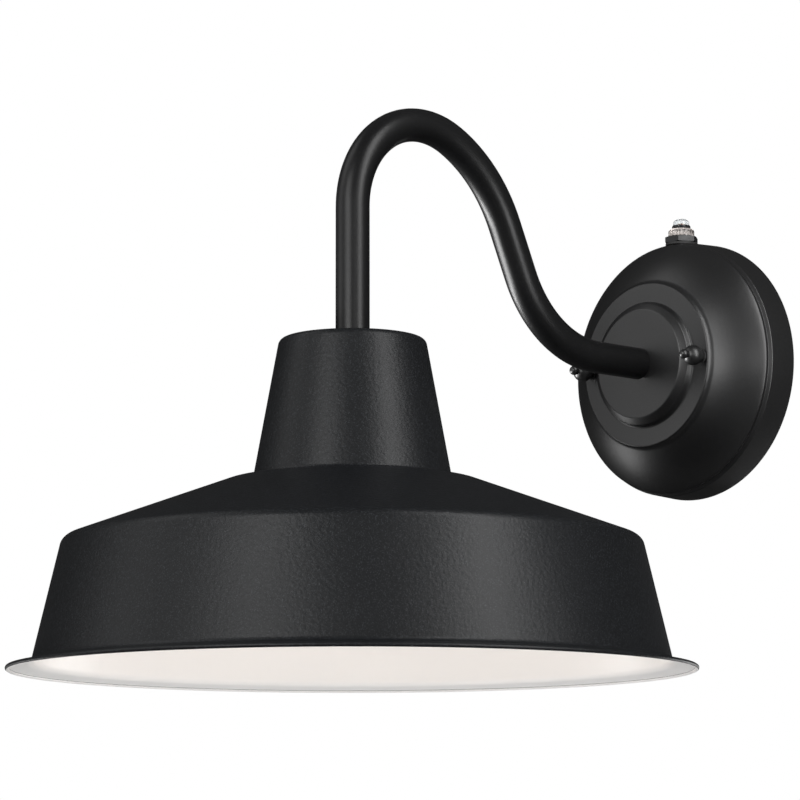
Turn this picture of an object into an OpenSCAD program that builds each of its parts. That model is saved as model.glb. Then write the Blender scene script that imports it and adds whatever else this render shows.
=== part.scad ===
// Gooseneck barn wall light with a dusk-to-dawn sensor, for outdoor walls.
// Millimetres, +Z up. The wall is the plane y = 0 and the light reaches out along -Y.
// The origin is the middle of the box strap's back face, on the axis of the canopy.

/* [Shade] */
// Outside diameter of the rim
rim_d = 319; // [300:1:400]
// Width of the flared lip outside the skirt
lip_w = 11.7; // [8:0.1:16]
// Rise of the lip between its edge and the skirt
lip_rise = 2.7; // [1.5:0.1:4]
// Diameter where the skirt turns into the shoulder
skirt_top_d = 269; // [220:1:280]
// Height of that turn above the rim
skirt_h = 60.6; // [45:0.1:75]
// Diameter where the shoulder levels out below the neck
ledge_d = 116; // [108:1:150]
// Height of the ledge above the rim
ledge_h = 88.6; // [80:0.1:89.2]
// Diameter of the neck at its foot
neck_base_d = 92.6; // [86:0.2:104]
// Height of the neck's foot above the rim
neck_base_h = 90; // [89.5:0.1:93]
// Diameter of the neck at its flat top
neck_top_d = 68.6; // [60:0.2:84]
// Height of the whole shade
shade_h = 155.7; // [145:0.1:190]
// Thickness of the spun steel sheet
sheet_t = 1; // [0.6:0.1:1.5]
// Diameter of the edge rolled along the rim
roll_d = 2; // [1.6:0.1:3]

/* [Arm] */
// Outside diameter of the gooseneck tube
tube_d = 16; // [14:0.5:20]
// Wall of the gooseneck tube
tube_wall = 1.2; // [0.8:0.1:1.6]
// Straight leg between the neck and the arch
leg_len = 63; // [30:1:100]
// Bend radius of the arch
arch_r = 46; // [36:1:60]
// Angle turned by the arch
arch_angle = 114; // [100:1:125]
// Bend radius of the wider bend behind the arch
fall_r = 75; // [50:1:90]
// Angle turned by the wider bend
fall_angle = 41; // [20:1:50]
// Straight length between the wider bend and the sweep
fall_len = 26.4; // [10:0.1:45]
// Bend radius of the sweep into the wall
sweep_r = 60; // [48:1:72]
// Distance from the wall to the axis of the shade
shade_reach = 242; // [225:1:320]

/* [Canopy] */
// Outside diameter of the canopy at the wall
canopy_d = 132.4; // [128:0.2:160]
// Depth of the canopy from the wall to its front disc
canopy_depth = 43.2; // [41:0.1:52]
// Width of the straight band beside the wall
band_w = 15.6; // [15:0.1:18]
// Radius that the band loses over its width
band_taper = 0.8; // [0.2:0.1:1.5]
// Diameter of the flat ring that carries the ball nuts
ring_d = 83.8; // [82.6:0.2:92]
// Height of the dome's curve above a plain cone
dome_bulge = 1.2; // [0:0.1:6]
// Step from the flat ring up to the front disc
disc_step = 5.4; // [4:0.1:6]
// Diameter at the foot of the front disc
disc_foot_d = 63; // [56:0.5:66]
// Diameter of the front disc at its flat top
disc_top_d = 55.5; // [44:0.5:58]
// Thickness of the pressed steel sheet
canopy_t = 1; // [0.6:0.1:1.4]

/* [Crossbar] */
// Distance between the two slots for the outlet box screws
box_spacing = 88.9; // [84:0.1:90]
// Width of a slot for a box screw
slot_w = 4.8; // [4.2:0.1:5.4]
// Length of a slot for a box screw
slot_len = 13; // [8:0.5:16]
// Width of both straps
strap_w = 14; // [12:0.5:18]
// Thickness of both straps
strap_t = 1.6; // [1.2:0.1:2]
// Distance between the two canopy studs
stud_spacing = 75; // [74:0.5:77]
// Diameter of a canopy stud
stud_d = 4.1; // [3.5:0.1:4.4]

/* [Ball nuts] */
// Diameter of the ball
ball_d = 10.4; // [9:0.1:12]
// Diameter of the button on the ball
button_d = 4; // [3:0.1:5]

/* [Sensor] */
// Distance from the wall to the axis of the sensor
sensor_y = 8.8; // [8.7:0.1:9.4]
// Diameter of the threaded sensor barrel
barrel_d = 13.4; // [11:0.1:13.8]
// Width of the sensor nut across its flats
sensor_nut_af = 15.4; // [15:0.1:16.5]
// Height of the sensor nut
sensor_nut_h = 3.4; // [2.5:0.1:5]

/* [Lampholder] */
// Outside diameter of the porcelain lampholder
socket_d = 39; // [36:0.5:44]
// Length of the porcelain lampholder
socket_len = 42; // [38:0.5:46]
// Inside diameter of the lampholder's screw shell
shell_d = 26.7; // [26.5:0.1:27.4]

/* [Bulb] */
// Diameter of the bulb's globe
globe_d = 60; // [50:1:70]
// Length of the bulb from contact to globe
bulb_len = 107; // [100:1:110]

/* [Leads] */
// Outside diameter of a lamp lead
lead_d = 2.6; // [2:0.1:2.9]
// Outside diameter of a sensor lead
sensor_lead_d = 2.2; // [1.6:0.1:2.4]

/* [Hidden] */

$fn = 96;
fit_gap = 0.05;      // running or threaded fit, on the radius
loose_gap = 0.3;     // clearance between pieces that move past each other
hole_gap = 0.4;      // clearance hole, on the radius
arc_steps = 6;       // straight pieces in one rounded corner of a sheet profile

// Shade, measured from its rim plane
nipple_r = 5;
nipple_bore_r = 3.8;
nipple_hole_r = nipple_r + 0.2;
lip_r = 3;
skirt_corner_r = 5;
ledge_r = 14;
neck_foot_r = 2;
neck_top_r = 3.5;

// Arm, as the program of a tube bender
tube_r = tube_d / 2;
tube_bore_r = tube_r - tube_wall;
turn_angle = arch_angle + fall_angle;
sweep_angle = turn_angle - 90;
bends_reach = arch_r * (1 - cos(arch_angle))
    + fall_r * (cos(arch_angle) - cos(turn_angle))
    + fall_len * sin(turn_angle)
    - sweep_r * cos(turn_angle);
bends_rise = arch_r * sin(arch_angle)
    + fall_r * (sin(turn_angle) - sin(arch_angle))
    + fall_len * cos(turn_angle)
    - sweep_r * (1 - sin(turn_angle));
stub_len = shade_reach - canopy_depth - bends_reach;
neck_top_z = -round(100 * (leg_len + bends_rise)) / 100;    // to 0.01 mm
rim_z = neck_top_z - shade_h;
insert_len = 14;
lap_len = 0.2;
lap_t = 0.01;
nipple_grip = 12;    // length of a nipple inside its insert

// Canopy, measured from the wall
band_r = canopy_d / 2;
band_front_r = band_r - band_taper;
groove_depth = 1.7;
bead_drop = 0.8;
dome_start = [band_front_r - 2.2, band_w + 4.8];
ring_r = ring_d / 2;
ring_h = canopy_depth - disc_step;
dome_end = [ring_r + 0.8, ring_h - 1.5];
dome_steps = 14;
disc_foot_r = disc_foot_d / 2;
disc_top_r = disc_top_d / 2;
gasket_w = 6;
gasket_t = 3;

// Fasteners behind the canopy's disc and under the neck's top
washer_t = 1.2;
lock_washer_t = 0.9;
hex_nut_t = 3.5;
hex_nut_af = 14;
nipple_end = 2;      // thread left over past the nut
seal_t = 1;
seal_r = 12;

// Crossbar
eyelet_r = 5.5;
eyelet_flange_r = 7.5;
eyelet_flange_t = 0.8;
eyelet_bore_r = 4;
swivel_gap = 0.1;
stud_x = stud_spacing / 2;
stud_r = stud_d / 2;
stud_front = strap_t + swivel_gap;
stud_back_h = stud_front + strap_t;
locknut_af = 8.7;
locknut_t = 3.2;
ground_x = 16;
ground_r = 2.4;
ground_head_af = 8;
ground_head_t = 2.5;

// Ball nuts
seal_washer_t = 0.8;
seal_washer_r = 3.4;
nut_collar_r = 3.2;
nut_collar_t = 1.2;
ball_r = ball_d / 2;
nut_base_h = ring_h + seal_washer_t;
ball_h = nut_base_h + nut_collar_t + ball_r - 0.9;
button_h = ball_h + ball_r + button_d / 2 - 0.2;
stud_tip_h = ball_h + 2;

// Sensor, measured along +Z from the canopy's axis
sensor_band_r = band_r - band_taper * sensor_y / band_w;
barrel_r = barrel_d / 2;
sensor_seal_r = 8.2;
sensor_seal_top = band_r + loose_gap;
sensor_nut_top = sensor_seal_top + sensor_nut_h;
barrel_top = sensor_nut_top + 4;
sensor_ring_r = 4.8;
sensor_ring_h = 2;
cap_r = 4.1;
cap_h = 3.4;
cap_wall = 0.7;
cell_r = 2.5;
cell_h = 1;
flange_r = 7.6;
flange_t = 1.6;
flange_past_band = max(sensor_y + flange_r - band_w, 0);
flange_top = min(
    sqrt(pow(sensor_band_r - canopy_t, 2) - pow(flange_r, 2)),
    band_front_r - canopy_t - 0.6 * flange_past_band) - loose_gap;
module_size = [18, 12.4, 26];
module_top = flange_top - flange_t;
module_foot = module_top - module_size[2];

// Lampholder and bulb, measured from the rim plane
neck_inside = shade_h - sheet_t;
bracket_t = 1.2;
bracket_w = 12;
bracket_top = neck_inside - seal_t;
shade_nut_foot = bracket_top - bracket_t - lock_washer_t - hex_nut_t;
nipple_foot = shade_nut_foot - nipple_end;
lead_room = 7;       // space for the leads between the nipple and the porcelain
socket_top = nipple_foot - lead_room;
socket_foot = socket_top - socket_len;
socket_r = socket_d / 2;
socket_skirt_r = socket_r - 1.5;
socket_roof_t = 12;
shell_r = shell_d / 2;
shell_t = 0.5;
cavity_r = shell_r + shell_t + 0.2;
cavity_top = socket_top - socket_roof_t;
contact_t = 0.5;
contact_drop = 2;
boss_x = socket_r + 0.6;
socket_screw_r = 1.7;
socket_screw_z = socket_top - 9;
leg_foot = socket_screw_z - 6;
bulb_tip = cavity_top - contact_drop - contact_t - loose_gap;
bulb_foot = bulb_tip - bulb_len;
cap_shell_r = shell_r - loose_gap;
cap_top = bulb_tip - 5;
collar_top = socket_foot - 0.5;
globe_r = globe_d / 2;
globe_z = bulb_foot + globe_r;
globe_cut = globe_z + 0.62 * globe_r;
globe_cut_r = sqrt(pow(globe_r, 2) - pow(globe_cut - globe_z, 2));
globe_t = 1.2;

// Leads
lead_r = lead_d / 2;
lead_x = lead_r + 0.2;
sensor_lead_r = sensor_lead_d / 2;
lead_bend_r = 7;
splice_angle = 35;   // direction of a wire nut, from straight down
splice_h = 19;       // distance of a splice from the wall
splice_run = 7;      // lead between its last bend and the wire nut
splice_start = lead_bend_r + splice_run;
splice_len = 20;
splice_r = 5.6;
splice_tip_r = 4;
splice_hole_len = 13;
splice_shift = lead_r + sensor_lead_r + 0.2;
splice_hole_r = splice_shift / 2 + max(lead_r, sensor_lead_r) + 0.2;
lead_grip = 8;       // length of a lead inside its wire nut
lead_sides = 8;
lead_rings = 5;      // rings between two points of a sensor lead
exit_x = 5;          // spacing of the sensor's leads

// ---------------------------------------------------------------- profiles

function unit(v) = v / norm(v);
function left_normal(a, b) = let (d = unit(b - a)) [-d[1], d[0]];

// Points of a corner at b between a and c, rounded to radius r
function round_corner(a, b, c, r) =
    let (
        u = unit(a - b),
        v = unit(c - b),
        half = acos(u * v) / 2,
        centre = b + unit(u + v) * r / sin(half),
        from = b + u * r / tan(half) - centre,
        to = b + v * r / tan(half) - centre,
        start = atan2(from[1], from[0]),
        turn = atan2(from[0] * to[1] - from[1] * to[0], from * to)
    )
    [for (i = [0:arc_steps])
        let (w = start + turn * i / arc_steps)
        centre + r * [cos(w), sin(w)]];

// A path of [x, y, corner radius] entries, with its corners rounded
function rounded_path(p) = [
    for (i = [0:len(p) - 1])
        let (
            here = [p[i][0], p[i][1]],
            inner = i > 0 && i < len(p) - 1 && p[i][2] > 0,
            before = inner ? [p[i - 1][0], p[i - 1][1]] : here,
            after = inner ? [p[i + 1][0], p[i + 1][1]] : here
        )
        for (q = inner ? round_corner(before, here, after, p[i][2]) : [here]) q
];

// The path moved to its left by t, with mitred corners
function offset_path(p, t) = [
    for (i = [0:len(p) - 1])
        let (
            last = len(p) - 1,
            n1 = left_normal(p[max(i - 1, 0)], p[max(i, 1)]),
            n2 = left_normal(p[min(i, last - 1)], p[min(i + 1, last)]),
            m = unit(n1 + n2)
        )
        p[i] + m * t / (m * n1)
];

function reversed(p) = [for (i = [len(p) - 1:-1:0]) p[i]];

function shade_path() = rounded_path([
    [rim_d / 2 - roll_d / 2, sheet_t, 0],
    [rim_d / 2 - lip_w, lip_rise + sheet_t, lip_r],
    [skirt_top_d / 2, skirt_h, skirt_corner_r],
    [ledge_d / 2, ledge_h, ledge_r],
    [neck_base_d / 2, neck_base_h, neck_foot_r],
    [neck_top_d / 2, shade_h, neck_top_r],
    [nipple_hole_r, shade_h, 0],
]);

function dome_path() = [
    for (i = [0:dome_steps])
        let (t = i / dome_steps, out = left_normal(dome_end, dome_start))
        dome_start + t * (dome_end - dome_start) + 4 * dome_bulge * t * (1 - t) * out
];

function disc_path() = rounded_path([
    [dome_end[0], dome_end[1], 0],
    [ring_r, ring_h, 0.8],
    [disc_foot_r + 0.5, ring_h, 0.8],
    [disc_foot_r - 0.4, ring_h + disc_step * 0.55, 1],
    [disc_top_r, canopy_depth, 1.2],
    [nipple_hole_r, canopy_depth, 0],
]);

function bead_path() = rounded_path([
    [band_r, 0, 0],
    [band_front_r, band_w, 0.8],
    [band_front_r - groove_depth, band_w + 1.6, 0.4],
    [band_front_r - bead_drop, band_w + 3.2, 0.8],
    [dome_start[0], dome_start[1], 0],
]);

function after_first(p) = [for (i = [1:len(p) - 1]) p[i]];

function canopy_front_path() = concat(after_first(dome_path()), after_first(disc_path()));

function canopy_inside_path() = concat(
    [[band_r - canopy_t, 0]],
    after_first(offset_path(concat(
        [[band_r, 0], [band_front_r, band_w], dome_start],
        canopy_front_path()), canopy_t))
);

// ------------------------------------------------------------------ helpers

module at_shade(z = 0) {
    translate([0, -shade_reach, rim_z + z]) children();
}

// Local +Z points away from the wall and local +Y points up
module at_wall(h = 0) {
    rotate([90, 0, 0]) translate([0, 0, h]) children();
}

module at_studs(sides = [-1, 1]) {
    for (side = sides) translate([side * stud_x, 0, 0]) children();
}

module disc(r, h, bore = 0) {
    linear_extrude(h) ring(r, bore);
}

module ring(r, bore = 0) {
    difference() {
        circle(r);
        if (bore > 0) circle(bore);
    }
}

module hex_nut(af, h, bore) {
    difference() {
        cylinder(r = af / sqrt(3), h = h, $fn = 6);
        translate([0, 0, -1]) cylinder(r = bore, h = h + 2);
    }
}

// Washer with a ring of bent teeth on its outside
module tooth_washer(bore, r, h, teeth = 10) {
    disc(r * 0.82, h, bore);
    for (i = [0:teeth - 1])
        rotate(i * 360 / teeth)
            translate([r * 0.78, -r * 0.1, 0]) cube([r * 0.22, r * 0.2, h]);
}

// Tube or rod that a bender makes along +Z. Each step is [straight length,
// bend radius, bend angle, roll]; a bend turns from +Z towards the rolled +Y.
module bent_run(steps, r, bore = 0, i = 0) {
    if (i < len(steps)) {
        s = steps[i];
        if (s[0] > 0) disc(r, s[0], bore);
        translate([0, 0, s[0]]) rotate(s[3]) {
            if (s[2] > 0)
                translate([0, s[1], 0]) rotate([90, 0, -90])
                    rotate_extrude(angle = s[2]) translate([s[1], 0]) ring(r, bore);
            translate([0, s[1], 0]) rotate([-s[2], 0, 0]) translate([0, -s[1], 0]) {
                if (s[2] > 0) bend_lap(r, bore);
                bent_run(steps, r, bore, i + 1);
            }
        }
    }
}

// Hair-thin collar that joins the end of a bend to what follows it
module bend_lap(r, bore) {
    translate([0, 0, -lap_len / 2]) disc(r + lap_t, lap_len, max(bore - lap_t, 0));
}

function arm_steps(first, last) = [
    [first, arch_r, arch_angle, 0],
    [0, fall_r, fall_angle, 0],
    [fall_len, sweep_r, sweep_angle, 180],
    each last
];

// Smooth curve through the points, with one more ring than steps per stretch
function spline_point(a, b, c, d, t) =
    0.5 * (2 * b + (c - a) * t + (2 * a - 5 * b + 4 * c - d) * t * t
        + (3 * b - a - 3 * c + d) * t * t * t);

function spline(p, steps) =
    let (n = len(p))
    [for (i = [0:n - 2], k = [0:steps - (i == n - 2 ? 0 : 1)])
        spline_point(
            i == 0 ? 2 * p[0] - p[1] : p[i - 1], p[i], p[i + 1],
            i == n - 2 ? 2 * p[n - 1] - p[n - 2] : p[i + 2], k / steps)];

// Round lead swept along a smooth curve through the points
module swept_lead(points, r) {
    path = spline(points, lead_rings);
    last = len(path) - 1;
    tangents = [for (i = [0:last]) unit(path[min(i + 1, last)] - path[max(i - 1, 0)])];
    side = [1, 0, 0];
    vertices = [
        for (i = [0:last])
            let (
                u = unit(cross(tangents[i], side)),
                v = cross(u, tangents[i])
            )
            for (k = [0:lead_sides - 1])
                let (w = 360 * k / lead_sides)
                path[i] + r * (u * cos(w) + v * sin(w))
    ];
    walls = [
        for (i = [0:last - 1], k = [0:lead_sides - 1], half = [0, 1])
            let (
                a = i * lead_sides + k,
                b = i * lead_sides + (k + 1) % lead_sides
            )
            half == 0 ? [a, b, b + lead_sides] : [a, b + lead_sides, a + lead_sides]
    ];
    start = [for (k = [lead_sides - 1:-1:0]) k];
    end = [for (k = [0:lead_sides - 1]) last * lead_sides + k];
    polyhedron(vertices, concat([start], walls, [end]));
}

// ----------------------------------------------------------------- crossbar

module slotted_strap_outline(length, width) {
    square([width, length - width], center = true);
    for (side = [-1, 1]) translate([0, side * (length - width) / 2]) circle(d = width);
}

module slot_outline() {
    square([slot_w, slot_len - slot_w], center = true);
    for (side = [-1, 1]) translate([0, side * (slot_len - slot_w) / 2]) circle(d = slot_w);
}

module box_strap() {
    strap_len = box_spacing + slot_len + 6;
    color("gainsboro") at_wall() difference() {
        linear_extrude(strap_t) difference() {
            slotted_strap_outline(strap_len, strap_w);
            for (side = [-1, 1]) translate([0, side * box_spacing / 2]) slot_outline();
        }
        translate([0, 0, -1]) cylinder(r = eyelet_r, h = strap_t + 2);
    }
}

// Hollow rivet staked in the box strap; the stud strap turns on it
module swivel_eyelet() {
    flange_h = stud_back_h + swivel_gap;
    color("silver") at_wall() rotate_extrude() polygon([
        [eyelet_bore_r, 0],
        [eyelet_r, 0],
        [eyelet_r, flange_h],
        [eyelet_flange_r, flange_h],
        [eyelet_flange_r, flange_h + eyelet_flange_t],
        [eyelet_bore_r, flange_h + eyelet_flange_t],
    ]);
}

module stud_strap() {
    color("gainsboro") at_wall(stud_front) difference() {
        linear_extrude(strap_t)
            rotate(90) slotted_strap_outline(stud_spacing + strap_w, strap_w);
        translate([0, 0, -1]) {
            cylinder(r = eyelet_r + fit_gap, h = strap_t + 2);
            at_studs() cylinder(r = stud_r + fit_gap, h = strap_t + 2);
            translate([ground_x, 0, 0]) cylinder(r = ground_r + fit_gap, h = strap_t + 2);
        }
    }
}

module canopy_studs() {
    color("silver") at_wall(stud_front) at_studs()
        cylinder(r = stud_r, h = stud_tip_h - stud_front);
}

module stud_locknuts() {
    color("silver") at_wall(stud_back_h) at_studs()
        hex_nut(locknut_af, locknut_t, stud_r + fit_gap);
}

module ground_screw() {
    color("green") at_wall() {
        translate([ground_x, 0, stud_front]) cylinder(r = ground_r, h = strap_t + sensor_lead_d);
        translate([ground_x, 0, stud_back_h + sensor_lead_d])
            cylinder(r = ground_head_af / sqrt(3), h = ground_head_t, $fn = 6);
    }
}

// Green lead, hooked under the head of the ground screw
module ground_lead() {
    hook_r = ground_r + sensor_lead_r + 0.1;
    h = stud_back_h + sensor_lead_r;
    color("green") at_wall() {
        translate([ground_x, 0, h])
            rotate(-90) rotate_extrude(angle = 270) translate([hook_r, 0]) circle(sensor_lead_r);
        swept_lead([
            [ground_x - hook_r, 0, h],
            [ground_x - hook_r, -6, h + 0.4],
            [ground_x - hook_r + 3, -15, h + 3],
            [ground_x + 4, -26, h + 4],
            [ground_x + 2, -38, h + 4],
        ], sensor_lead_r);
    }
}

// ------------------------------------------------------------------- canopy

module canopy() {
    profile = concat(bead_path(), canopy_front_path(), reversed(canopy_inside_path()));
    color([0.13, 0.13, 0.14]) difference() {
        at_wall() rotate_extrude() polygon(profile);
        at_wall(ring_h - 3) at_studs() cylinder(r = stud_r + hole_gap, h = 6);
        translate([0, -sensor_y, band_r - 8]) cylinder(r = barrel_r + 0.2, h = 12);
    }
}

// Foam ring pressed into the canopy's open back, cut away beside the sensor
module wall_gasket() {
    outer_r = band_r - canopy_t - 0.2;
    notch_w = 2 * max(flange_r, module_size[0] / 2) + 1.2;
    color("dimgray") at_wall() linear_extrude(gasket_t) difference() {
        ring(outer_r, outer_r - gasket_w);
        translate([-notch_w / 2, 0]) square([notch_w, outer_r + 1]);
    }
}

module canopy_washer() {
    color("silver") at_wall(canopy_depth - canopy_t - washer_t)
        disc(12, washer_t, nipple_r + fit_gap);
}

module canopy_lock_washer() {
    color("silver") at_wall(canopy_depth - canopy_t - washer_t - lock_washer_t)
        tooth_washer(nipple_r + fit_gap, 9, lock_washer_t);
}

module canopy_nut() {
    color("goldenrod")
        at_wall(canopy_depth - canopy_t - washer_t - lock_washer_t - hex_nut_t)
            hex_nut(hex_nut_af, hex_nut_t, nipple_r + fit_gap);
}

module wall_nipple() {
    foot = canopy_depth - canopy_t - washer_t - lock_washer_t - hex_nut_t - nipple_end;
    color("silver") at_wall(foot)
        disc(nipple_r, canopy_depth + nipple_grip - foot, nipple_bore_r);
}

module arm_insert_wall() {
    color("silver") at_wall(canopy_depth)
        disc(tube_bore_r - fit_gap, insert_len, nipple_r + fit_gap);
}

// ---------------------------------------------------------------------- arm

module gooseneck_arm() {
    color([0.13, 0.13, 0.14]) at_shade(shade_h)
        bent_run(arm_steps(leg_len, [[stub_len, 0, 0, 0]]), tube_r, tube_bore_r);
}

module arm_insert_shade() {
    color("silver") at_shade(shade_h)
        disc(tube_bore_r - fit_gap, insert_len, nipple_r + fit_gap);
}

module shade_nipple() {
    color("silver") at_shade(nipple_foot)
        disc(nipple_r, shade_h + nipple_grip - nipple_foot, nipple_bore_r);
}

// -------------------------------------------------------------------- shade

module shade() {
    outside = shade_path();
    color([0.16, 0.17, 0.17]) at_shade() rotate_extrude() {
        polygon(concat(outside, reversed(offset_path(outside, sheet_t))));
        translate([rim_d / 2 - roll_d / 2, roll_d / 2]) circle(roll_d / 2);
    }
}

module shade_seal() {
    color("dimgray") at_shade(neck_inside - seal_t) disc(seal_r, seal_t, nipple_r + fit_gap);
}

module socket_bracket() {
    reach = boss_x + bracket_t;
    drop = bracket_top - leg_foot;
    color("gainsboro") at_shade() difference() {
        union() {
            translate([-reach, -bracket_w / 2, bracket_top - bracket_t])
                cube([2 * reach, bracket_w, bracket_t]);
            for (side = [-1, 1])
                translate([side * (reach - bracket_t / 2) - bracket_t / 2, -bracket_w / 2, leg_foot])
                    cube([bracket_t, bracket_w, drop]);
        }
        translate([0, 0, leg_foot]) cylinder(r = nipple_r + fit_gap, h = drop + 1);
        translate([-reach - 1, 0, socket_screw_z]) rotate([0, 90, 0])
            cylinder(r = socket_screw_r + fit_gap, h = 2 * reach + 2);
    }
}

module shade_lock_washer() {
    color("silver") at_shade(bracket_top - bracket_t - lock_washer_t)
        tooth_washer(nipple_r + fit_gap, 9, lock_washer_t);
}

module shade_nut() {
    color("goldenrod") at_shade(shade_nut_foot)
        hex_nut(hex_nut_af, hex_nut_t, nipple_r + fit_gap);
}

// --------------------------------------------------------------- lampholder

module socket_body() {
    boss_h = 10;
    screw_depth = 5;
    waist = socket_len * 0.45;
    color("ivory") at_shade() difference() {
        union() {
            rotate_extrude() polygon(concat(
                [[cavity_r, socket_foot]],
                rounded_path([
                    [cavity_r, socket_foot, 0],
                    [socket_skirt_r, socket_foot, 1.5],
                    [socket_skirt_r, socket_foot + waist, 1.5],
                    [socket_r, socket_foot + waist + 3, 1.5],
                    [socket_r, socket_top, 3],
                    [0, socket_top, 0],
                ]),
                [[0, cavity_top], [cavity_r, cavity_top]]
            ));
            for (side = [-1, 1])
                translate([side * (boss_x - 3) - 3, -bracket_w / 2 + 1, socket_screw_z - boss_h / 2])
                    cube([6, bracket_w - 2, boss_h]);
        }
        for (side = [-1, 1]) {
            translate([side * (boss_x + 1), 0, socket_screw_z]) rotate([0, -side * 90, 0])
                cylinder(r = socket_screw_r + fit_gap, h = screw_depth + 1);
            translate([side * lead_x, 0, socket_top - lead_grip])
                cylinder(r = lead_r + 0.1, h = lead_grip + 1);
        }
    }
}

module socket_screws() {
    head_r = 3.4;
    head_t = 2;
    shank = bracket_t + 4.5;
    color("silver") at_shade(socket_screw_z)
        for (side = [-1, 1])
            translate([side * (boss_x + bracket_t), 0, 0]) rotate([0, side * 90, 0]) {
                translate([0, 0, -shank]) cylinder(r = socket_screw_r, h = shank);
                intersection() {
                    cylinder(r = head_r, h = head_t);
                    translate([0, 0, head_t - 2 * head_r]) sphere(r = 2 * head_r);
                }
            }
}

module screw_shell() {
    shell_foot = socket_foot + 3;
    shell_top = cavity_top - contact_drop - contact_t;
    lug_w = 5;
    color("tan") at_shade() {
        translate([0, 0, shell_foot]) disc(shell_r + shell_t, shell_top - shell_foot, shell_r);
        translate([shell_r, -lug_w / 2, shell_top - 1])
            cube([shell_t, lug_w, cavity_top - shell_top + 1]);
    }
}

// Sprung brass strip that meets the tip of the bulb
module centre_contact() {
    strip_w = 5;
    half = 5;
    color("goldenrod") at_shade(cavity_top) rotate([90, 0, 0])
        translate([0, 0, -strip_w / 2]) linear_extrude(strip_w) polygon([
            [-half - 3, 0],
            [-half, 0],
            [-half + 3, -contact_drop],
            [half - 1, -contact_drop],
            [half - 1, -contact_drop - contact_t],
            [-half + 2.7, -contact_drop - contact_t],
            [-half - 0.3, -contact_t],
            [-half - 3, -contact_t],
        ]);
}

// --------------------------------------------------------------------- bulb

module bulb_base() {
    color("silver") at_shade() rotate_extrude() polygon([
        [0, collar_top],
        [cap_shell_r, collar_top],
        [cap_shell_r, cap_top - 1.5],
        [cap_shell_r - 1.5, cap_top],
        [8, cap_top + 1],
        [5, cap_top + 3],
        [0, cap_top + 3],
    ]);
}

module bulb_contact() {
    color("goldenrod") at_shade(cap_top + 3) intersection() {
        cylinder(r = 4.2, h = 2);
        translate([0, 0, 2 - 7]) sphere(r = 7);
    }
}

module bulb_collar() {
    color("white") at_shade() rotate_extrude() polygon(concat(
        [[0, globe_cut], [globe_cut_r, globe_cut]],
        [for (i = [0:8])
            let (t = i / 8)
            [cap_shell_r - 0.6 + (globe_cut_r + 0.4 - cap_shell_r + 0.6) * pow(1 - t, 1.6),
             globe_cut + 0.4 + (collar_top - globe_cut - 0.4) * t]],
        [[0, collar_top]]
    ));
}

module bulb_globe() {
    color("ivory") at_shade(globe_z) difference() {
        sphere(r = globe_r);
        sphere(r = globe_r - globe_t);
        translate([-globe_r, -globe_r, globe_cut - globe_z]) cube(2 * globe_r);
    }
}

// -------------------------------------------------------------------- leads

// Lamp lead from the porcelain through the arm to its splice on one side
module lamp_lead(side) {
    start = socket_top - lead_grip + 0.5;
    stub = shade_reach - bends_reach - splice_h - lead_bend_r;
    tail = [
        [stub, lead_bend_r, 90, 180 - side * splice_angle],
        [splice_run + lead_grip, 0, 0, 0],
    ];
    at_shade(start) translate([side * lead_x, 0, 0])
        bent_run(arm_steps(shade_h + leg_len - start, tail), lead_r);
}

module lamp_lead_black() color([0.1, 0.1, 0.1]) lamp_lead(1);

module lamp_lead_white() color("white") lamp_lead(-1);

// Local +Z runs along a splice, from the canopy's axis outwards and down
module at_splice(side, s = 0) {
    at_wall(splice_h) translate([side * lead_x, 0, 0])
        rotate([90, 0, 0]) rotate([0, side * splice_angle, 0]) translate([0, 0, s]) children();
}

module wire_nut(side) {
    at_splice(side, splice_start) translate([side * splice_shift / 2, 0, 0]) difference() {
        rotate_extrude() polygon([
            [0, 0],
            [splice_r, 0],
            [splice_r, splice_len * 0.35],
            [splice_tip_r, splice_len - 1],
            [splice_tip_r - 1, splice_len],
            [0, splice_len],
        ]);
        translate([0, 0, -1]) cylinder(r = splice_hole_r, h = splice_hole_len + 1);
    }
}

module wire_nut_load() color("orangered") wire_nut(1);

module wire_nut_neutral() color("orangered") wire_nut(-1);

// Point on the sensor lead's line beside the lamp lead, s from the axis
function splice_point(side, s, spread = 0) =
    let (shift = splice_shift + spread)
    [
        side * (lead_x + s * sin(splice_angle) + shift * cos(splice_angle)),
        -s * cos(splice_angle) + shift * sin(splice_angle),
        splice_h
    ];

module sensor_splice_lead(side) {
    at_wall() swept_lead([
        [side * exit_x, module_foot, sensor_y],
        [side * exit_x, module_foot - 2, sensor_y],
        [side * exit_x, module_foot - 5, sensor_y],
        [side * (exit_x + 3), module_foot - 16, sensor_y + 4],
        [side * (exit_x + 4), module_foot - 28, sensor_y + 8],
        splice_point(side, splice_start - 5, 1.6),
        splice_point(side, splice_start + 1),
        splice_point(side, splice_start + lead_grip),
    ], sensor_lead_r);
}

module sensor_lead_red() color("firebrick") sensor_splice_lead(1);

module sensor_lead_white() color("white") sensor_splice_lead(-1);

module sensor_lead_black() {
    color([0.1, 0.1, 0.1]) at_wall() swept_lead([
        [0, module_foot, sensor_y],
        [0, module_foot - 8, sensor_y],
        [0, module_foot - 30, sensor_y],
        [0, module_foot - 50, sensor_y + 1],
        [-3, module_foot - 66, sensor_y + 2],
        [-4, module_foot - 78, sensor_y + 2],
    ], sensor_lead_r);
}

// ------------------------------------------------------------------- sensor

module at_sensor(z = 0) {
    translate([0, -sensor_y, z]) children();
}

module sensor_module() {
    color([0.1, 0.1, 0.1]) at_sensor(module_foot)
        translate([-module_size[0] / 2, -module_size[1] / 2, 0]) cube(module_size);
}

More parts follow.
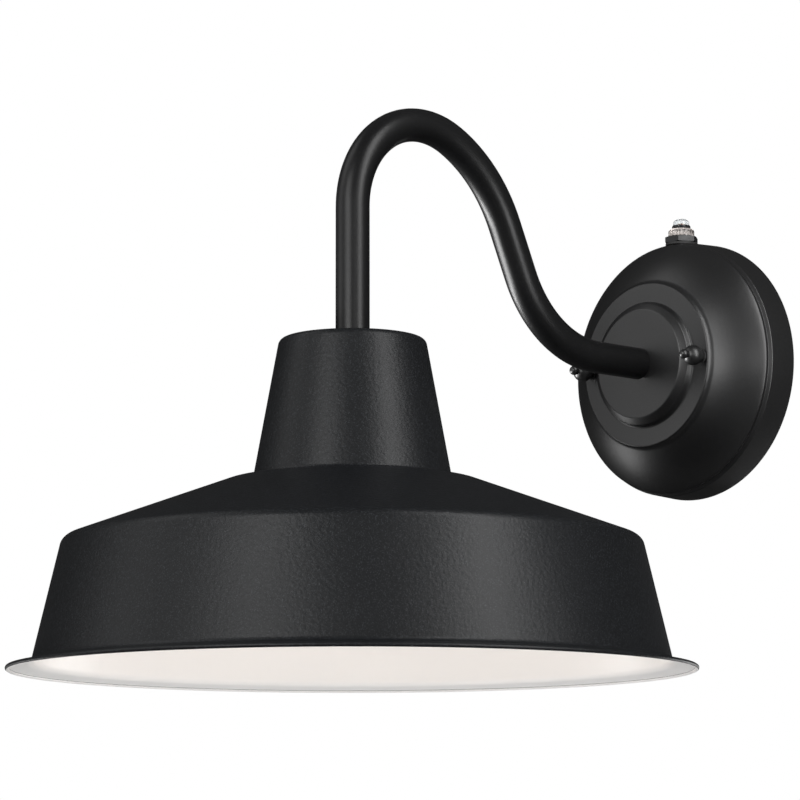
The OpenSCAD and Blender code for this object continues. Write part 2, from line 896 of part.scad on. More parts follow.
module sensor_barrel() {
    color([0.5, 0.45, 0.4, 0.6]) at_sensor(module_top) {
        cylinder(r = flange_r, h = flange_t);
        cylinder(r = barrel_r, h = barrel_top - 1 - module_top);
        translate([0, 0, barrel_top - 1 - module_top]) cylinder(r1 = barrel_r, r2 = barrel_r - 1, h = 1);
    }
}

// Rubber washer between the sensor's nut and the curved band
module sensor_seal() {
    color([0.08, 0.08, 0.08]) difference() {
        at_sensor(sensor_band_r - 2) cylinder(r = sensor_seal_r, h = sensor_seal_top - sensor_band_r + 2);
        at_wall() rotate_extrude($fn = 4 * $fn)
            polygon([[0, 0], [band_r, 0], [band_front_r, band_w], [band_front_r, band_w + 4], [0, band_w + 4]]);
        at_sensor(sensor_band_r - 4) cylinder(r = barrel_r + fit_gap, h = 8);
    }
}

module sensor_nut() {
    color([0.1, 0.1, 0.1]) at_sensor(sensor_seal_top)
        rotate(30) hex_nut(sensor_nut_af, sensor_nut_h, barrel_r + fit_gap);
}

module sensor_ring() {
    color([0.08, 0.08, 0.08]) at_sensor(barrel_top) disc(sensor_ring_r, sensor_ring_h, cell_r + 0.2);
}

module sensor_cell() {
    color("sienna") at_sensor(barrel_top) cylinder(r = cell_r, h = sensor_ring_h + cell_h);
}

module sensor_cap() {
    dome_r = cap_r * 1.6;
    inside_r = cap_r - cap_wall;
    color([0.85, 0.88, 0.9, 0.5]) at_sensor(barrel_top + sensor_ring_h) difference() {
        intersection() {
            cylinder(r = cap_r, h = cap_h);
            translate([0, 0, cap_h - dome_r]) sphere(r = dome_r);
        }
        translate([0, 0, -1]) cylinder(r = inside_r, h = 1 + cap_h - 1.2);
    }
}

// ---------------------------------------------------------------- ball nuts

module seal_washer(side) {
    color([0.08, 0.08, 0.08]) at_wall(ring_h) at_studs([side])
        disc(seal_washer_r, seal_washer_t, stud_r + fit_gap);
}

module seal_washer_left() seal_washer(-1);

module seal_washer_right() seal_washer(1);

// Ball with a small button on its front and a blind threaded hole behind
module ball_nut(side) {
    color([0.13, 0.13, 0.14]) at_wall() at_studs([side]) difference() {
        union() {
            translate([0, 0, nut_base_h]) cylinder(r = nut_collar_r, h = ball_h - nut_base_h);
            intersection() {
                translate([0, 0, ball_h]) sphere(r = ball_r);
                translate([0, 0, nut_base_h + 0.3]) cylinder(r = ball_r + 1, h = 4 * ball_r);
            }
            translate([0, 0, ball_h]) cylinder(r = button_d * 0.32, h = button_h - ball_h);
            translate([0, 0, button_h]) sphere(d = button_d);
        }
        translate([0, 0, nut_base_h - 1]) cylinder(r = stud_r + fit_gap, h = stud_tip_h - nut_base_h + 1.5);
    }
}

module ball_nut_left() ball_nut(-1);

module ball_nut_right() ball_nut(1);

box_strap();
swivel_eyelet();
stud_strap();
canopy_studs();
stud_locknuts();
ground_screw();
ground_lead();
wall_gasket();
canopy();
canopy_washer();
canopy_lock_washer();
canopy_nut();
wall_nipple();
arm_insert_wall();
gooseneck_arm();
arm_insert_shade();
shade_nipple();
shade();
shade_seal();
socket_bracket();
shade_lock_washer();
shade_nut();
socket_body();
socket_screws();
screw_shell();
centre_contact();
lamp_lead_black();
lamp_lead_white();
wire_nut_load();
wire_nut_neutral();
sensor_module();
sensor_barrel();
sensor_seal();
sensor_nut();
sensor_ring();
sensor_cap();
sensor_cell();
sensor_lead_black();
sensor_lead_red();
sensor_lead_white();
seal_washer_left();
seal_washer_right();
ball_nut_left();
ball_nut_right();
bulb_base();
bulb_contact();
bulb_collar();
bulb_globe();
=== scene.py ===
"""Looks of a gooseneck barn wall light with a dusk-to-dawn sensor.

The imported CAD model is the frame. Each sub-assembly is a class that builds its
meshes in the frame's own coordinates, dresses them and lets them ride on a body.
Lengths are in metres, +Z is up, the wall is the plane y = 0 and the light reaches
out along -Y.
"""

from __future__ import annotations

import logging
import math
from dataclasses import dataclass
from enum import Enum
from typing import Iterable, Sequence

import bmesh
import bpy
from mathutils import Matrix, Vector


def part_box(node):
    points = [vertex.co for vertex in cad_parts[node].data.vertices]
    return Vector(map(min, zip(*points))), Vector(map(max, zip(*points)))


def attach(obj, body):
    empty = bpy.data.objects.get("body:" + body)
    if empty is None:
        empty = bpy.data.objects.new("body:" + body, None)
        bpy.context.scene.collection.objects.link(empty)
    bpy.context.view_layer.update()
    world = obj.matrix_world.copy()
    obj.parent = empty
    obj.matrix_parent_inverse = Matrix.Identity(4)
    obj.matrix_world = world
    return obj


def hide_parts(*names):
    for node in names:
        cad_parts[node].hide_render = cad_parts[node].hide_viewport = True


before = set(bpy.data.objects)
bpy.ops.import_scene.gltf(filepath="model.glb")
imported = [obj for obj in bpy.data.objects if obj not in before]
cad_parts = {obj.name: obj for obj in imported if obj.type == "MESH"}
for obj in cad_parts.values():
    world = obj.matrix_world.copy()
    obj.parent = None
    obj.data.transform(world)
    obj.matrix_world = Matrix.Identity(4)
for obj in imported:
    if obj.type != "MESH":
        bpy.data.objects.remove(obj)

LOG = logging.getLogger("wall_light")
MM = 0.001
TURN = 2 * math.pi
Triple = tuple[float, float, float]
Colour = Triple


# --------------------------------------------------------------------- finishes


class Graph:
    """Adds and links the nodes of one tree."""

    def __init__(self, tree: bpy.types.NodeTree) -> None:
        """Empties the tree."""
        self.tree = tree
        self.tree.nodes.clear()

    def node(self, kind: str) -> bpy.types.Node:
        """Adds a node of that kind."""
        return self.tree.nodes.new(kind)

    def join(self, source: bpy.types.NodeSocket, target: bpy.types.NodeSocket) -> None:
        """Links one socket to another."""
        self.tree.links.new(source, target)

    def calculate(self, kind: str, *sources: bpy.types.NodeSocket | float) -> bpy.types.NodeSocket:
        """Adds a calculation.

        Args:
            kind: Operation, as the math node names it.
            *sources: Sockets or plain numbers that go into it.

        Returns:
            The result's socket.
        """
        step = self.node("ShaderNodeMath")
        step.operation = kind
        for socket, source in zip(step.inputs, sources):
            if isinstance(source, float):
                socket.default_value = source
            else:
                self.join(source, socket)
        return step.outputs[0]

    def ramp(
        self,
        factor: bpy.types.NodeSocket,
        low: float,
        high: float,
        at_low: float = 0.0,
        at_high: float = 1.0,
    ) -> bpy.types.NodeSocket:
        """Maps a range of a factor to a range of values.

        Args:
            factor: The factor to map.
            low: Factor that gives at_low.
            high: Factor that gives at_high.
            at_low: Value below the range.
            at_high: Value above the range.

        Returns:
            The mapped value's socket.
        """
        span = self.node("ShaderNodeMapRange")
        for key, value in zip(("From Min", "From Max", "To Min", "To Max"), (low, high, at_low, at_high)):
            span.inputs[key].default_value = value
        self.join(factor, span.inputs["Value"])
        return span.outputs["Result"]


class MaterialGraph(Graph):
    """Builds the node tree of one material."""

    def __init__(self, name: str) -> None:
        """Starts a tree that ends in a principled shader.

        Args:
            name: Name of the new material.
        """
        self.material = bpy.data.materials.new(name)
        self.material.use_nodes = True
        super().__init__(self.material.node_tree)
        self.shader = self.node("ShaderNodeBsdfPrincipled")
        self.surface = self.node("ShaderNodeOutputMaterial").inputs["Surface"]
        self.join(self.shader.outputs[0], self.surface)
        self.coords = self.node("ShaderNodeTexCoord").outputs["Object"]

    def set(self, **values: float | Colour) -> None:
        """Sets constant values on the shader's own sockets.

        Args:
            **values: Socket names with underscores for spaces.
        """
        for key, value in values.items():
            socket = self.shader.inputs[key.replace("_", " ")]
            socket.default_value = (*value, 1.0) if isinstance(value, tuple) else value

    def stretched(self, scale: Triple) -> bpy.types.NodeSocket:
        """Object coordinates, stretched for a streaky pattern.

        Args:
            scale: Factor along each axis.

        Returns:
            The vector socket.
        """
        mapping = self.node("ShaderNodeMapping")
        mapping.inputs["Scale"].default_value = scale
        self.join(self.coords, mapping.inputs["Vector"])
        return mapping.outputs["Vector"]

    def noise(
        self, scale: float, detail: float = 2.0, vector: bpy.types.NodeSocket | None = None
    ) -> bpy.types.NodeSocket:
        """Noise with that many features to the metre.

        Args:
            scale: Features to the metre.
            detail: Octaves of finer noise.
            vector: Coordinates, or None for the plain object coordinates.

        Returns:
            The factor socket.
        """
        noise = self.node("ShaderNodeTexNoise")
        noise.inputs["Scale"].default_value = scale
        noise.inputs["Detail"].default_value = detail
        self.join(vector or self.coords, noise.inputs["Vector"])
        return noise.outputs["Fac"]

    def cells(self, scale: float) -> bpy.types.NodeSocket:
        """Distance to the nearest of many scattered points.

        Args:
            scale: Points to the metre.

        Returns:
            The distance socket.
        """
        cells = self.node("ShaderNodeTexVoronoi")
        cells.inputs["Scale"].default_value = scale
        self.join(self.coords, cells.inputs["Vector"])
        return cells.outputs["Distance"]

    def tint(self, pattern: bpy.types.NodeSocket, first: Colour, second: Colour) -> None:
        """Colours the surface between two colours by a pattern.

        Args:
            pattern: 0 gives the first colour, 1 the second.
            first: First colour.
            second: Second colour.
        """
        mix = self.node("ShaderNodeMix")
        mix.data_type = "RGBA"
        mix.inputs["A"].default_value = (*first, 1.0)
        mix.inputs["B"].default_value = (*second, 1.0)
        self.join(pattern, mix.inputs["Factor"])
        self.drive("Base Color", mix.outputs["Result"])

    def bump(self, height: bpy.types.NodeSocket, depth: float, strength: float = 1.0) -> None:
        """Bumps the surface by a height pattern.

        Args:
            height: Height from 0 to 1.
            depth: Height in metres that 1 stands for.
            strength: Share of the bump that shows.
        """
        bump = self.node("ShaderNodeBump")
        bump.inputs["Distance"].default_value = depth
        bump.inputs["Strength"].default_value = strength
        self.join(height, bump.inputs["Height"])
        self.join(bump.outputs["Normal"], self.shader.inputs["Normal"])

    def drive(self, key: str, source: bpy.types.NodeSocket) -> None:
        """Feeds one of the shader's sockets from a pattern."""
        self.join(source, self.shader.inputs[key])

    def roughen(
        self,
        pattern: bpy.types.NodeSocket,
        low: float,
        high: float,
        start: float = 0.3,
        stop: float = 0.7,
    ) -> None:
        """Varies the roughness from low to high while a pattern goes from start to stop."""
        self.drive("Roughness", self.ramp(pattern, start, stop, low, high))


@dataclass(frozen=True)
class Finish:
    """A named finish that makes its material when it is first used."""

    name: str

    def material(self) -> bpy.types.Material:
        """Finds the finish's material, or makes it on first use.

        Returns:
            The material.
        """
        found = bpy.data.materials.get(f"finish_{self.name}")
        if found is not None:
            return found
        graph = MaterialGraph(f"finish_{self.name}")
        self.paint(graph)
        return graph.material

    def paint(self, graph: MaterialGraph) -> None:
        """Builds the nodes of the finish."""
        raise NotImplementedError


@dataclass(frozen=True)
class PowderCoat(Finish):
    """Baked powder paint with a fine, faintly sparkling grain."""

    colour: Colour
    fleck: Colour
    roughness: float = 0.42
    gloss: float = 0.3
    grain: float = 560.0
    grain_depth: float = 0.3 * MM
    fleck_share: float = 3.2

    def paint(self, graph: MaterialGraph) -> None:
        """Mixes flecks into the colour and bumps the surface with the same grain.

        Args:
            graph: Empty node graph of the material.
        """
        flecks = graph.ramp(graph.noise(self.grain * self.fleck_share, 1.0), 0.56, 0.72)
        graph.tint(flecks, self.colour, self.fleck)
        graph.roughen(graph.noise(14.0, 2.0), self.roughness - 0.03, self.roughness + 0.04)
        graph.set(Specular_IOR_Level=self.gloss)
        graph.bump(graph.noise(self.grain, 4.0), self.grain_depth, 0.6)


@dataclass(frozen=True)
class Enamel(Finish):
    """Smooth white enamel with a faint orange peel."""

    colour: Colour
    roughness: float = 0.3

    def paint(self, graph: MaterialGraph) -> None:
        """Adds the orange peel and a slightly uneven gloss.

        Args:
            graph: Empty node graph of the material.
        """
        graph.set(Base_Color=self.colour, Specular_IOR_Level=0.4)
        graph.roughen(graph.noise(40.0, 2.0), self.roughness, self.roughness + 0.08)
        graph.bump(graph.noise(420.0, 1.0), 0.04 * MM, 0.5)


@dataclass(frozen=True)
class PlatedMetal(Finish):
    """Plated or bare metal with rolling streaks and dull patches."""

    colour: Colour
    dull: Colour
    roughness: float = 0.28
    streak: Triple = (60.0, 900.0, 900.0)

    def paint(self, graph: MaterialGraph) -> None:
        """Varies the colour and the gloss with patches and fine streaks.

        Args:
            graph: Empty node graph of the material.
        """
        patches = graph.ramp(graph.noise(90.0, 4.0), 0.35, 0.7)
        streaks = graph.noise(1.0, 3.0, graph.stretched(self.streak))
        graph.set(Metallic=1.0)
        graph.tint(patches, self.colour, self.dull)
        graph.roughen(streaks, self.roughness, self.roughness + 0.16)
        graph.bump(streaks, 0.02 * MM, 0.35)


@dataclass(frozen=True)
class Moulded(Finish):
    """Moulded plastic, rubber or foam with a surface grain."""

    colour: Colour
    shade: Colour
    roughness: float = 0.45
    grain: float = 2200.0
    grain_depth: float = 0.03 * MM
    pores: float = 0.0
    gloss: float = 0.5

    def paint(self, graph: MaterialGraph) -> None:
        """Adds uneven colour, grain and, for foam, open pores.

        Args:
            graph: Empty node graph of the material.
        """
        graph.tint(graph.ramp(graph.noise(160.0, 3.0), 0.3, 0.7), self.colour, self.shade)
        graph.roughen(graph.noise(self.grain / 4), self.roughness, self.roughness + 0.1)
        graph.set(Specular_IOR_Level=self.gloss)
        if self.pores > 0:
            graph.bump(graph.ramp(graph.cells(self.pores), 0.1, 0.6), 0.4 * MM, 0.9)
        else:
            graph.bump(graph.noise(self.grain, 2.0), self.grain_depth, 0.5)


@dataclass(frozen=True)
class Glaze(Finish):
    """Fired porcelain glaze with faint specks and soft waves."""

    colour: Colour
    speck: Colour

    def paint(self, graph: MaterialGraph) -> None:
        """Adds sparse specks and a wavy glaze.

        Args:
            graph: Empty node graph of the material.
        """
        specks = graph.ramp(graph.cells(520.0), 0.03, 0.09, 1.0, 0.0)
        graph.tint(specks, self.colour, self.speck)
        graph.roughen(graph.noise(60.0), 0.12, 0.22)
        graph.set(Specular_IOR_Level=0.6)
        graph.bump(graph.noise(110.0, 1.0), 0.25 * MM, 0.4)


@dataclass(frozen=True)
class ClearPlastic(Finish):
    """Clear or smoked moulded plastic."""

    colour: Colour
    cloud: Colour
    roughness: float = 0.06
    ior: float = 1.49

    def paint(self, graph: MaterialGraph) -> None:
        """Lets light through, with cloudy flow marks from the mould.

        Args:
            graph: Empty node graph of the material.
        """
        flow = graph.ramp(graph.noise(700.0, 3.0), 0.35, 0.7)
        graph.set(Transmission_Weight=0.92, IOR=self.ior)
        graph.tint(flow, self.colour, self.cloud)
        graph.roughen(flow, self.roughness, self.roughness + 0.1, 0.0, 1.0)
        graph.bump(graph.noise(1100.0, 1.0), 0.04 * MM, 0.4)


@dataclass(frozen=True)
class FrostedGlow(Finish):
    """Frosted globe that glows softly."""

    colour: Colour
    glow: Colour
    strength: float

    def paint(self, graph: MaterialGraph) -> None:
        """Dims the glow slightly in soft patches.

        Args:
            graph: Empty node graph of the material.
        """
        patches = graph.ramp(graph.noise(30.0, 1.0), 0.3, 0.7, 0.92, 1.0)
        graph.set(Base_Color=self.colour, Roughness=0.5, Emission_Color=self.glow)
        graph.drive("Emission Strength", graph.calculate("MULTIPLY", patches, self.strength))


@dataclass(frozen=True)
class CellTrack(Finish):
    """Light cell: a pale ceramic disc with a dark serpentine track."""

    ceramic: Colour
    track: Colour
    bars: float

    def paint(self, graph: MaterialGraph) -> None:
        """Draws the track's bars across the disc.

        Args:
            graph: Empty node graph of the material.
        """
        wave = graph.node("ShaderNodeTexWave")
        wave.bands_direction = "X"
        wave.inputs["Scale"].default_value = self.bars
        graph.join(graph.coords, wave.inputs["Vector"])
        track = graph.ramp(wave.outputs["Fac"], 0.45, 0.55)
        graph.tint(track, self.ceramic, self.track)
        graph.roughen(track, 0.35, 0.2, 0.0, 1.0)
        graph.bump(track, 0.05 * MM, 0.5)


SHADE_BLACK = PowderCoat("shade_black", (0.0034, 0.0039, 0.0048), (0.019, 0.021, 0.024))
ARM_BLACK = PowderCoat(
    "arm_black", (0.003, 0.003, 0.0032), (0.009, 0.009, 0.01), roughness=0.34, gloss=0.34,
    grain_depth=0.06 * MM,
)
CANOPY_BLACK = PowderCoat(
    "canopy_black", (0.003, 0.003, 0.0032), (0.008, 0.008, 0.009), roughness=0.36, gloss=0.78,
    grain_depth=0.05 * MM,
)
SHADE_WHITE = Enamel("shade_white", (0.86, 0.85, 0.84))
ZINC = PlatedMetal("zinc_plate", (0.62, 0.64, 0.66), (0.46, 0.47, 0.48))
BRASS = PlatedMetal("yellow_brass", (0.78, 0.58, 0.26), (0.6, 0.42, 0.17), roughness=0.24)
BULB_METAL = PlatedMetal("bulb_metal", (0.76, 0.76, 0.77), (0.62, 0.62, 0.62), roughness=0.22)
GREEN_DIP = Moulded("green_dip", (0.015, 0.2, 0.06), (0.01, 0.14, 0.045), roughness=0.25)
FOAM = Moulded("gasket_foam", (0.05, 0.05, 0.053), (0.035, 0.035, 0.036), 0.9, pores=900.0, gloss=0.2)
RUBBER = Moulded("black_rubber", (0.02, 0.02, 0.02), (0.03, 0.03, 0.03), roughness=0.6, gloss=0.35)
BLACK_PLASTIC = Moulded("black_plastic", (0.006, 0.006, 0.007), (0.01, 0.01, 0.011), 0.28, gloss=0.4)
ORANGE_PLASTIC = Moulded("wire_nut_plastic", (0.82, 0.2, 0.02), (0.7, 0.15, 0.015), roughness=0.35)
WHITE_PLASTIC = Moulded("bulb_plastic", (0.82, 0.82, 0.8), (0.78, 0.78, 0.76), roughness=0.35)
SLEEVE_BLACK = Moulded("black_sleeve", (0.02, 0.02, 0.021), (0.03, 0.03, 0.03), roughness=0.3)
SLEEVE_WHITE = Moulded("white_sleeve", (0.8, 0.8, 0.78), (0.74, 0.74, 0.71), roughness=0.3)
SLEEVE_RED = Moulded("red_sleeve", (0.55, 0.03, 0.02), (0.45, 0.025, 0.02), roughness=0.3)
SLEEVE_GREEN = Moulded("green_sleeve", (0.02, 0.28, 0.07), (0.015, 0.22, 0.055), roughness=0.3)
PORCELAIN = Glaze("porcelain", (0.86, 0.84, 0.77), (0.45, 0.4, 0.32))
SMOKED = ClearPlastic("smoked_plastic", (0.62, 0.57, 0.54), (0.42, 0.38, 0.36), roughness=0.14)
CLEAR = ClearPlastic("clear_plastic", (0.93, 0.95, 0.96), (0.84, 0.87, 0.88))
CELL = CellTrack("cell_face", (0.75, 0.68, 0.55), (0.28, 0.07, 0.03), 260.0)
GLOBE = FrostedGlow("frosted_globe", (0.9, 0.88, 0.84), (1.0, 0.83, 0.7), 4.7)
BASE_GLASS = Moulded("black_glass", (0.01, 0.01, 0.012), (0.014, 0.014, 0.016), roughness=0.12)


# --------------------------------------------------------------- mesh workshop


@dataclass(frozen=True)
class Corner:
    """A point of an outline, at radius r and height z, with its corner rounded."""

    r: float
    z: float
    rounding: float = 0.0


def arc(radius: float, middle: float, start: float, end: float, points: int) -> list[Corner]:
    """Lays corners along an arc that is centred on the axis.

    Args:
        radius: Radius of the arc.
        middle: Height of its centre.
        start: Angle of its first corner from straight down, in radians.
        end: Angle of its last corner.
        points: Steps between the two.

    Returns:
        The corners.
    """
    angles = (start + (end - start) * i / points for i in range(points + 1))
    return [Corner(radius * math.sin(w), middle - radius * math.cos(w)) for w in angles]


def wall_place() -> Matrix:
    """Frame on the canopy's axis at the wall: +Z away from the wall, +Y up."""
    return Matrix.Rotation(math.radians(90), 4, "X")


def draw_outline(corners: Sequence[Corner], closed: bool = False, segments: int = 6) -> bmesh.types.BMesh:
    """Draws an outline in the XZ plane and rounds its corners.

    Args:
        corners: The outline's corners in order.
        closed: Joins the last corner to the first.
        segments: Edges in each rounded corner.

    Returns:
        A mesh that holds only the outline's edges.
    """
    mesh = bmesh.new()
    verts = [mesh.verts.new((c.r, 0, c.z)) for c in corners]
    following = verts[1:] + verts[:1] if closed else verts[1:]
    for pair in zip(verts, following):
        mesh.edges.new(pair)
    rounded = []
    for i, corner in enumerate(corners):
        if corner.rounding > 0:
            here = verts[i].co
            back = (verts[i - 1].co - here).normalized()
            ahead = (verts[(i + 1) % len(verts)].co - here).normalized()
            turn = math.pi - back.angle(ahead)
            rounded.append((verts[i], corner.rounding * math.tan(turn / 2)))
    for vert, cut in rounded:
        bmesh.ops.bevel(
            mesh, geom=[vert], offset=cut, offset_type="OFFSET", segments=segments,
            profile=0.5, affect="VERTICES", material=-1,
        )
    return mesh


def turn_outline(mesh: bmesh.types.BMesh, steps: int) -> bmesh.types.BMesh:
    """Spins an outline once round its Z axis and closes the seam and poles.

    Args:
        mesh: Mesh that holds the outline's edges.
        steps: Steps in a full turn.

    Returns:
        The same mesh, turned.
    """
    bmesh.ops.spin(
        mesh, geom=mesh.verts[:] + mesh.edges[:], cent=(0, 0, 0), axis=(0, 0, 1),
        dvec=(0, 0, 0), angle=TURN, steps=steps, use_merge=True,
    )
    bmesh.ops.remove_doubles(mesh, verts=mesh.verts[:], dist=1e-7)
    bmesh.ops.dissolve_degenerate(mesh, edges=mesh.edges[:], dist=1e-8)
    bmesh.ops.recalc_face_normals(mesh, faces=mesh.faces[:])
    return mesh


def make_piece(
    name: str,
    mesh: bmesh.types.BMesh,
    body: str,
    finishes: Iterable[Finish],
    place: Matrix | None = None,
    sharp: float = 35.0,
) -> bpy.types.Object:
    """Turns a mesh into a finished piece that rides on a body.

    Args:
        name: Name of the piece.
        mesh: Its mesh, freed here.
        body: Body that carries it.
        finishes: Its finishes, one per material index.
        place: Where the mesh goes in the frame.
        sharp: Edges with a larger angle stay sharp, in degrees.

    Returns:
        The new object.
    """
    data = bpy.data.meshes.new(name)
    mesh.to_mesh(data)
    mesh.free()
    if place is not None:
        data.transform(place)
    for finish in finishes:
        data.materials.append(finish.material())
    data.polygons.foreach_set("use_smooth", [True] * len(data.polygons))
    data.set_sharp_from_angle(angle=math.radians(sharp))
    piece = bpy.data.objects.new(name, data)
    bpy.context.scene.collection.objects.link(piece)
    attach(piece, body)
    LOG.info("%s: %d faces on %s", name, len(data.polygons), body)
    return piece


def pick(made: Iterable, kind: type) -> list:
    """Picks the elements of one kind out of what an operator made."""
    return [element for element in made if isinstance(element, kind)]


def solidify(piece: bpy.types.Object, wall: float, inner: int = 0, rim: int = 0) -> None:
    """Gives a sheet its wall, inwards from the modelled face.

    Args:
        piece: The sheet.
        wall: Wall in metres.
        inner: Material offset of the inner face.
        rim: Material offset of the cut edge.
    """
    mesh = bmesh.new()
    mesh.from_mesh(piece.data)
    for edge in mesh.edges:
        if edge.is_boundary:
            edge.smooth = False
    mesh.to_mesh(piece.data)
    mesh.free()
    modifier = piece.modifiers.new("wall", "SOLIDIFY")
    modifier.thickness = wall
    modifier.offset = -1
    modifier.use_even_offset = True
    modifier.material_offset = inner
    modifier.material_offset_rim = rim


def soften(piece: bpy.types.Object, width: float, angle: float = 50.0) -> None:
    """Rounds the sharp edges of a piece.

    Args:
        piece: The piece.
        width: Width of the rounding.
        angle: Edges with a larger angle are rounded, in degrees.
    """
    modifier = piece.modifiers.new("edge", "BEVEL")
    modifier.width = width
    modifier.segments = 2
    modifier.limit_method = "ANGLE"
    modifier.angle_limit = math.radians(angle)
    modifier.harden_normals = True


def stand_for(piece: bpy.types.Object, slot: str, *nodes: str) -> bpy.types.Object:
    """Hides the CAD nodes that a piece replaces.

    Args:
        piece: The piece.
        slot: Material slot, not used.
        *nodes: Names of the CAD nodes.

    Returns:
        The same piece.
    """
    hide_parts(*nodes)
    return piece


def dress(finish: Finish, *nodes: str) -> None:
    """Gives CAD nodes a finish.

    Args:
        finish: The finish.
        *nodes: Names of the nodes.
    """
    for node in nodes:
        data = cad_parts[node].data
        data.materials.clear()
        data.materials.append(finish.material())
        LOG.info("%s: CAD node in %s", node, finish.name)


def refine(
    node: str, body: str, slot: str, finish: Finish, edge: float, sharp: float = 40.0
) -> bpy.types.Object:
    """Remakes a CAD node with merged faces, smooth curves and rounded edges.

    Args:
        node: Name of the node, which the piece replaces.
        body: Body that carries it.
        slot: Material slot of the piece, passed on but not used.
        finish: Its finish.
        edge: Width of the rounding, or 0 for none.
        sharp: Edges with a larger angle count as edges, in degrees.

    Returns:
        The new piece.
    """
    mesh = bmesh.new()
    mesh.from_mesh(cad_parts[node].data)
    bmesh.ops.remove_doubles(mesh, verts=mesh.verts[:], dist=1e-6)
    bmesh.ops.dissolve_limit(
        mesh, angle_limit=math.radians(1), verts=mesh.verts[:], edges=mesh.edges[:]
    )
    bmesh.ops.recalc_face_normals(mesh, faces=mesh.faces[:])
    for face in mesh.faces:
        face.material_index = 0
    piece = make_piece(f"{node}_refined", mesh, body, (finish,), sharp=sharp)
    if edge > 0:
        soften(piece, edge, sharp)
    return stand_for(piece, slot, node)


def turn_piece(
    name: str,
    corners: Sequence[Corner],
    body: str,
    finish: Finish,
    place: Matrix,
    closed: bool = False,
    steps: int = 72,
) -> bpy.types.Object:
    """Turns a round piece from its outline.

    Args:
        name: Name of the piece.
        corners: Its outline.
        body: Body that carries it.
        finish: Its finish.
        place: Where its axis stands.
        closed: Joins the outline's ends, for a ring.
        steps: Steps in a full turn.

    Returns:
        The new piece.
    """
    mesh = turn_outline(draw_outline(corners, closed, segments=4), steps)
    return make_piece(name, mesh, body, (finish,), place, 50.0)


def upright(node: str) -> tuple[Matrix, float, float]:
    """Finds the upright axis of a round node.

    Args:
        node: Name of the node.

    Returns:
        Its axis standing on the node's foot, its radius and its height.
    """
    low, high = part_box(node)
    place = Matrix.Translation(((low.x + high.x) / 2, (low.y + high.y) / 2, low.z))
    return place, (high.x - low.x) / 2, high.z - low.z


# ------------------------------------------------------------------ main pieces


@dataclass
class Shade:
    """Spun steel shade: neck, shoulder, skirt and flared lip."""

    lip_w: float = 11.7 * MM
    lip_rise: float = 2.7 * MM
    roll_r: float = 1 * MM
    skirt_top_r: float = 134.5 * MM
    skirt_h: float = 60.6 * MM
    ledge_r: float = 58 * MM
    ledge_h: float = 88.6 * MM
    neck_foot_r: float = 46.3 * MM
    neck_foot_h: float = 90 * MM
    neck_top_r: float = 34.3 * MM
    hole_r: float = 5.2 * MM
    sheet: float = 1 * MM
    coat_edge: float = 0.3
    lip_round: float = 3 * MM
    skirt_round: float = 5 * MM
    ledge_round: float = 14 * MM
    foot_round: float = 2 * MM
    top_round: float = 3.5 * MM
    steps: int = 256

    def build(self) -> None:
        """Builds the shade, black outside and white inside, and rolls its rim."""
        place, rim_r, height = upright("shade")
        outline = draw_outline(
            [
                Corner(rim_r - self.roll_r, 2 * self.roll_r),
                Corner(rim_r - self.lip_w, self.sheet + self.lip_rise, self.lip_round),
                Corner(self.skirt_top_r, self.skirt_h, self.skirt_round),
                Corner(self.ledge_r, self.ledge_h, self.ledge_round),
                Corner(self.neck_foot_r, self.neck_foot_h, self.foot_round),
                Corner(self.neck_top_r, height, self.top_round),
                Corner(self.hole_r, height),
            ],
            segments=8,
        )
        mesh = turn_outline(outline, self.steps)
        piece = make_piece("shade_shell", mesh, "fixture", (SHADE_BLACK, SHADE_WHITE), place)
        solidify(piece, self.sheet, inner=1)
        stand_for(piece, "shade_coat", "shade")
        self.roll_rim(rim_r, place)

    def roll_rim(self, rim_r: float, place: Matrix) -> None:
        """Rolls a round edge along the rim, coated outside and enamelled inside.

        Args:
            rim_r: Outside radius of the rim.
            place: Where the shade stands.
        """
        mesh = bmesh.new()
        turn = Matrix.Translation((rim_r - self.roll_r, 0, self.roll_r)) @ Matrix.Rotation(
            math.radians(90), 4, "X"
        )
        bmesh.ops.create_circle(mesh, cap_ends=False, segments=16, radius=self.roll_r, matrix=turn)
        turn_outline(mesh, self.steps)
        for face in mesh.faces:
            out = Vector(face.calc_center_median().xy).normalized().dot(face.normal.xy)
            face.material_index = int(out < self.coat_edge and face.normal.z < 0.1)
        piece = make_piece("shade_rolled_rim", mesh, "fixture", (SHADE_BLACK, SHADE_WHITE), place)


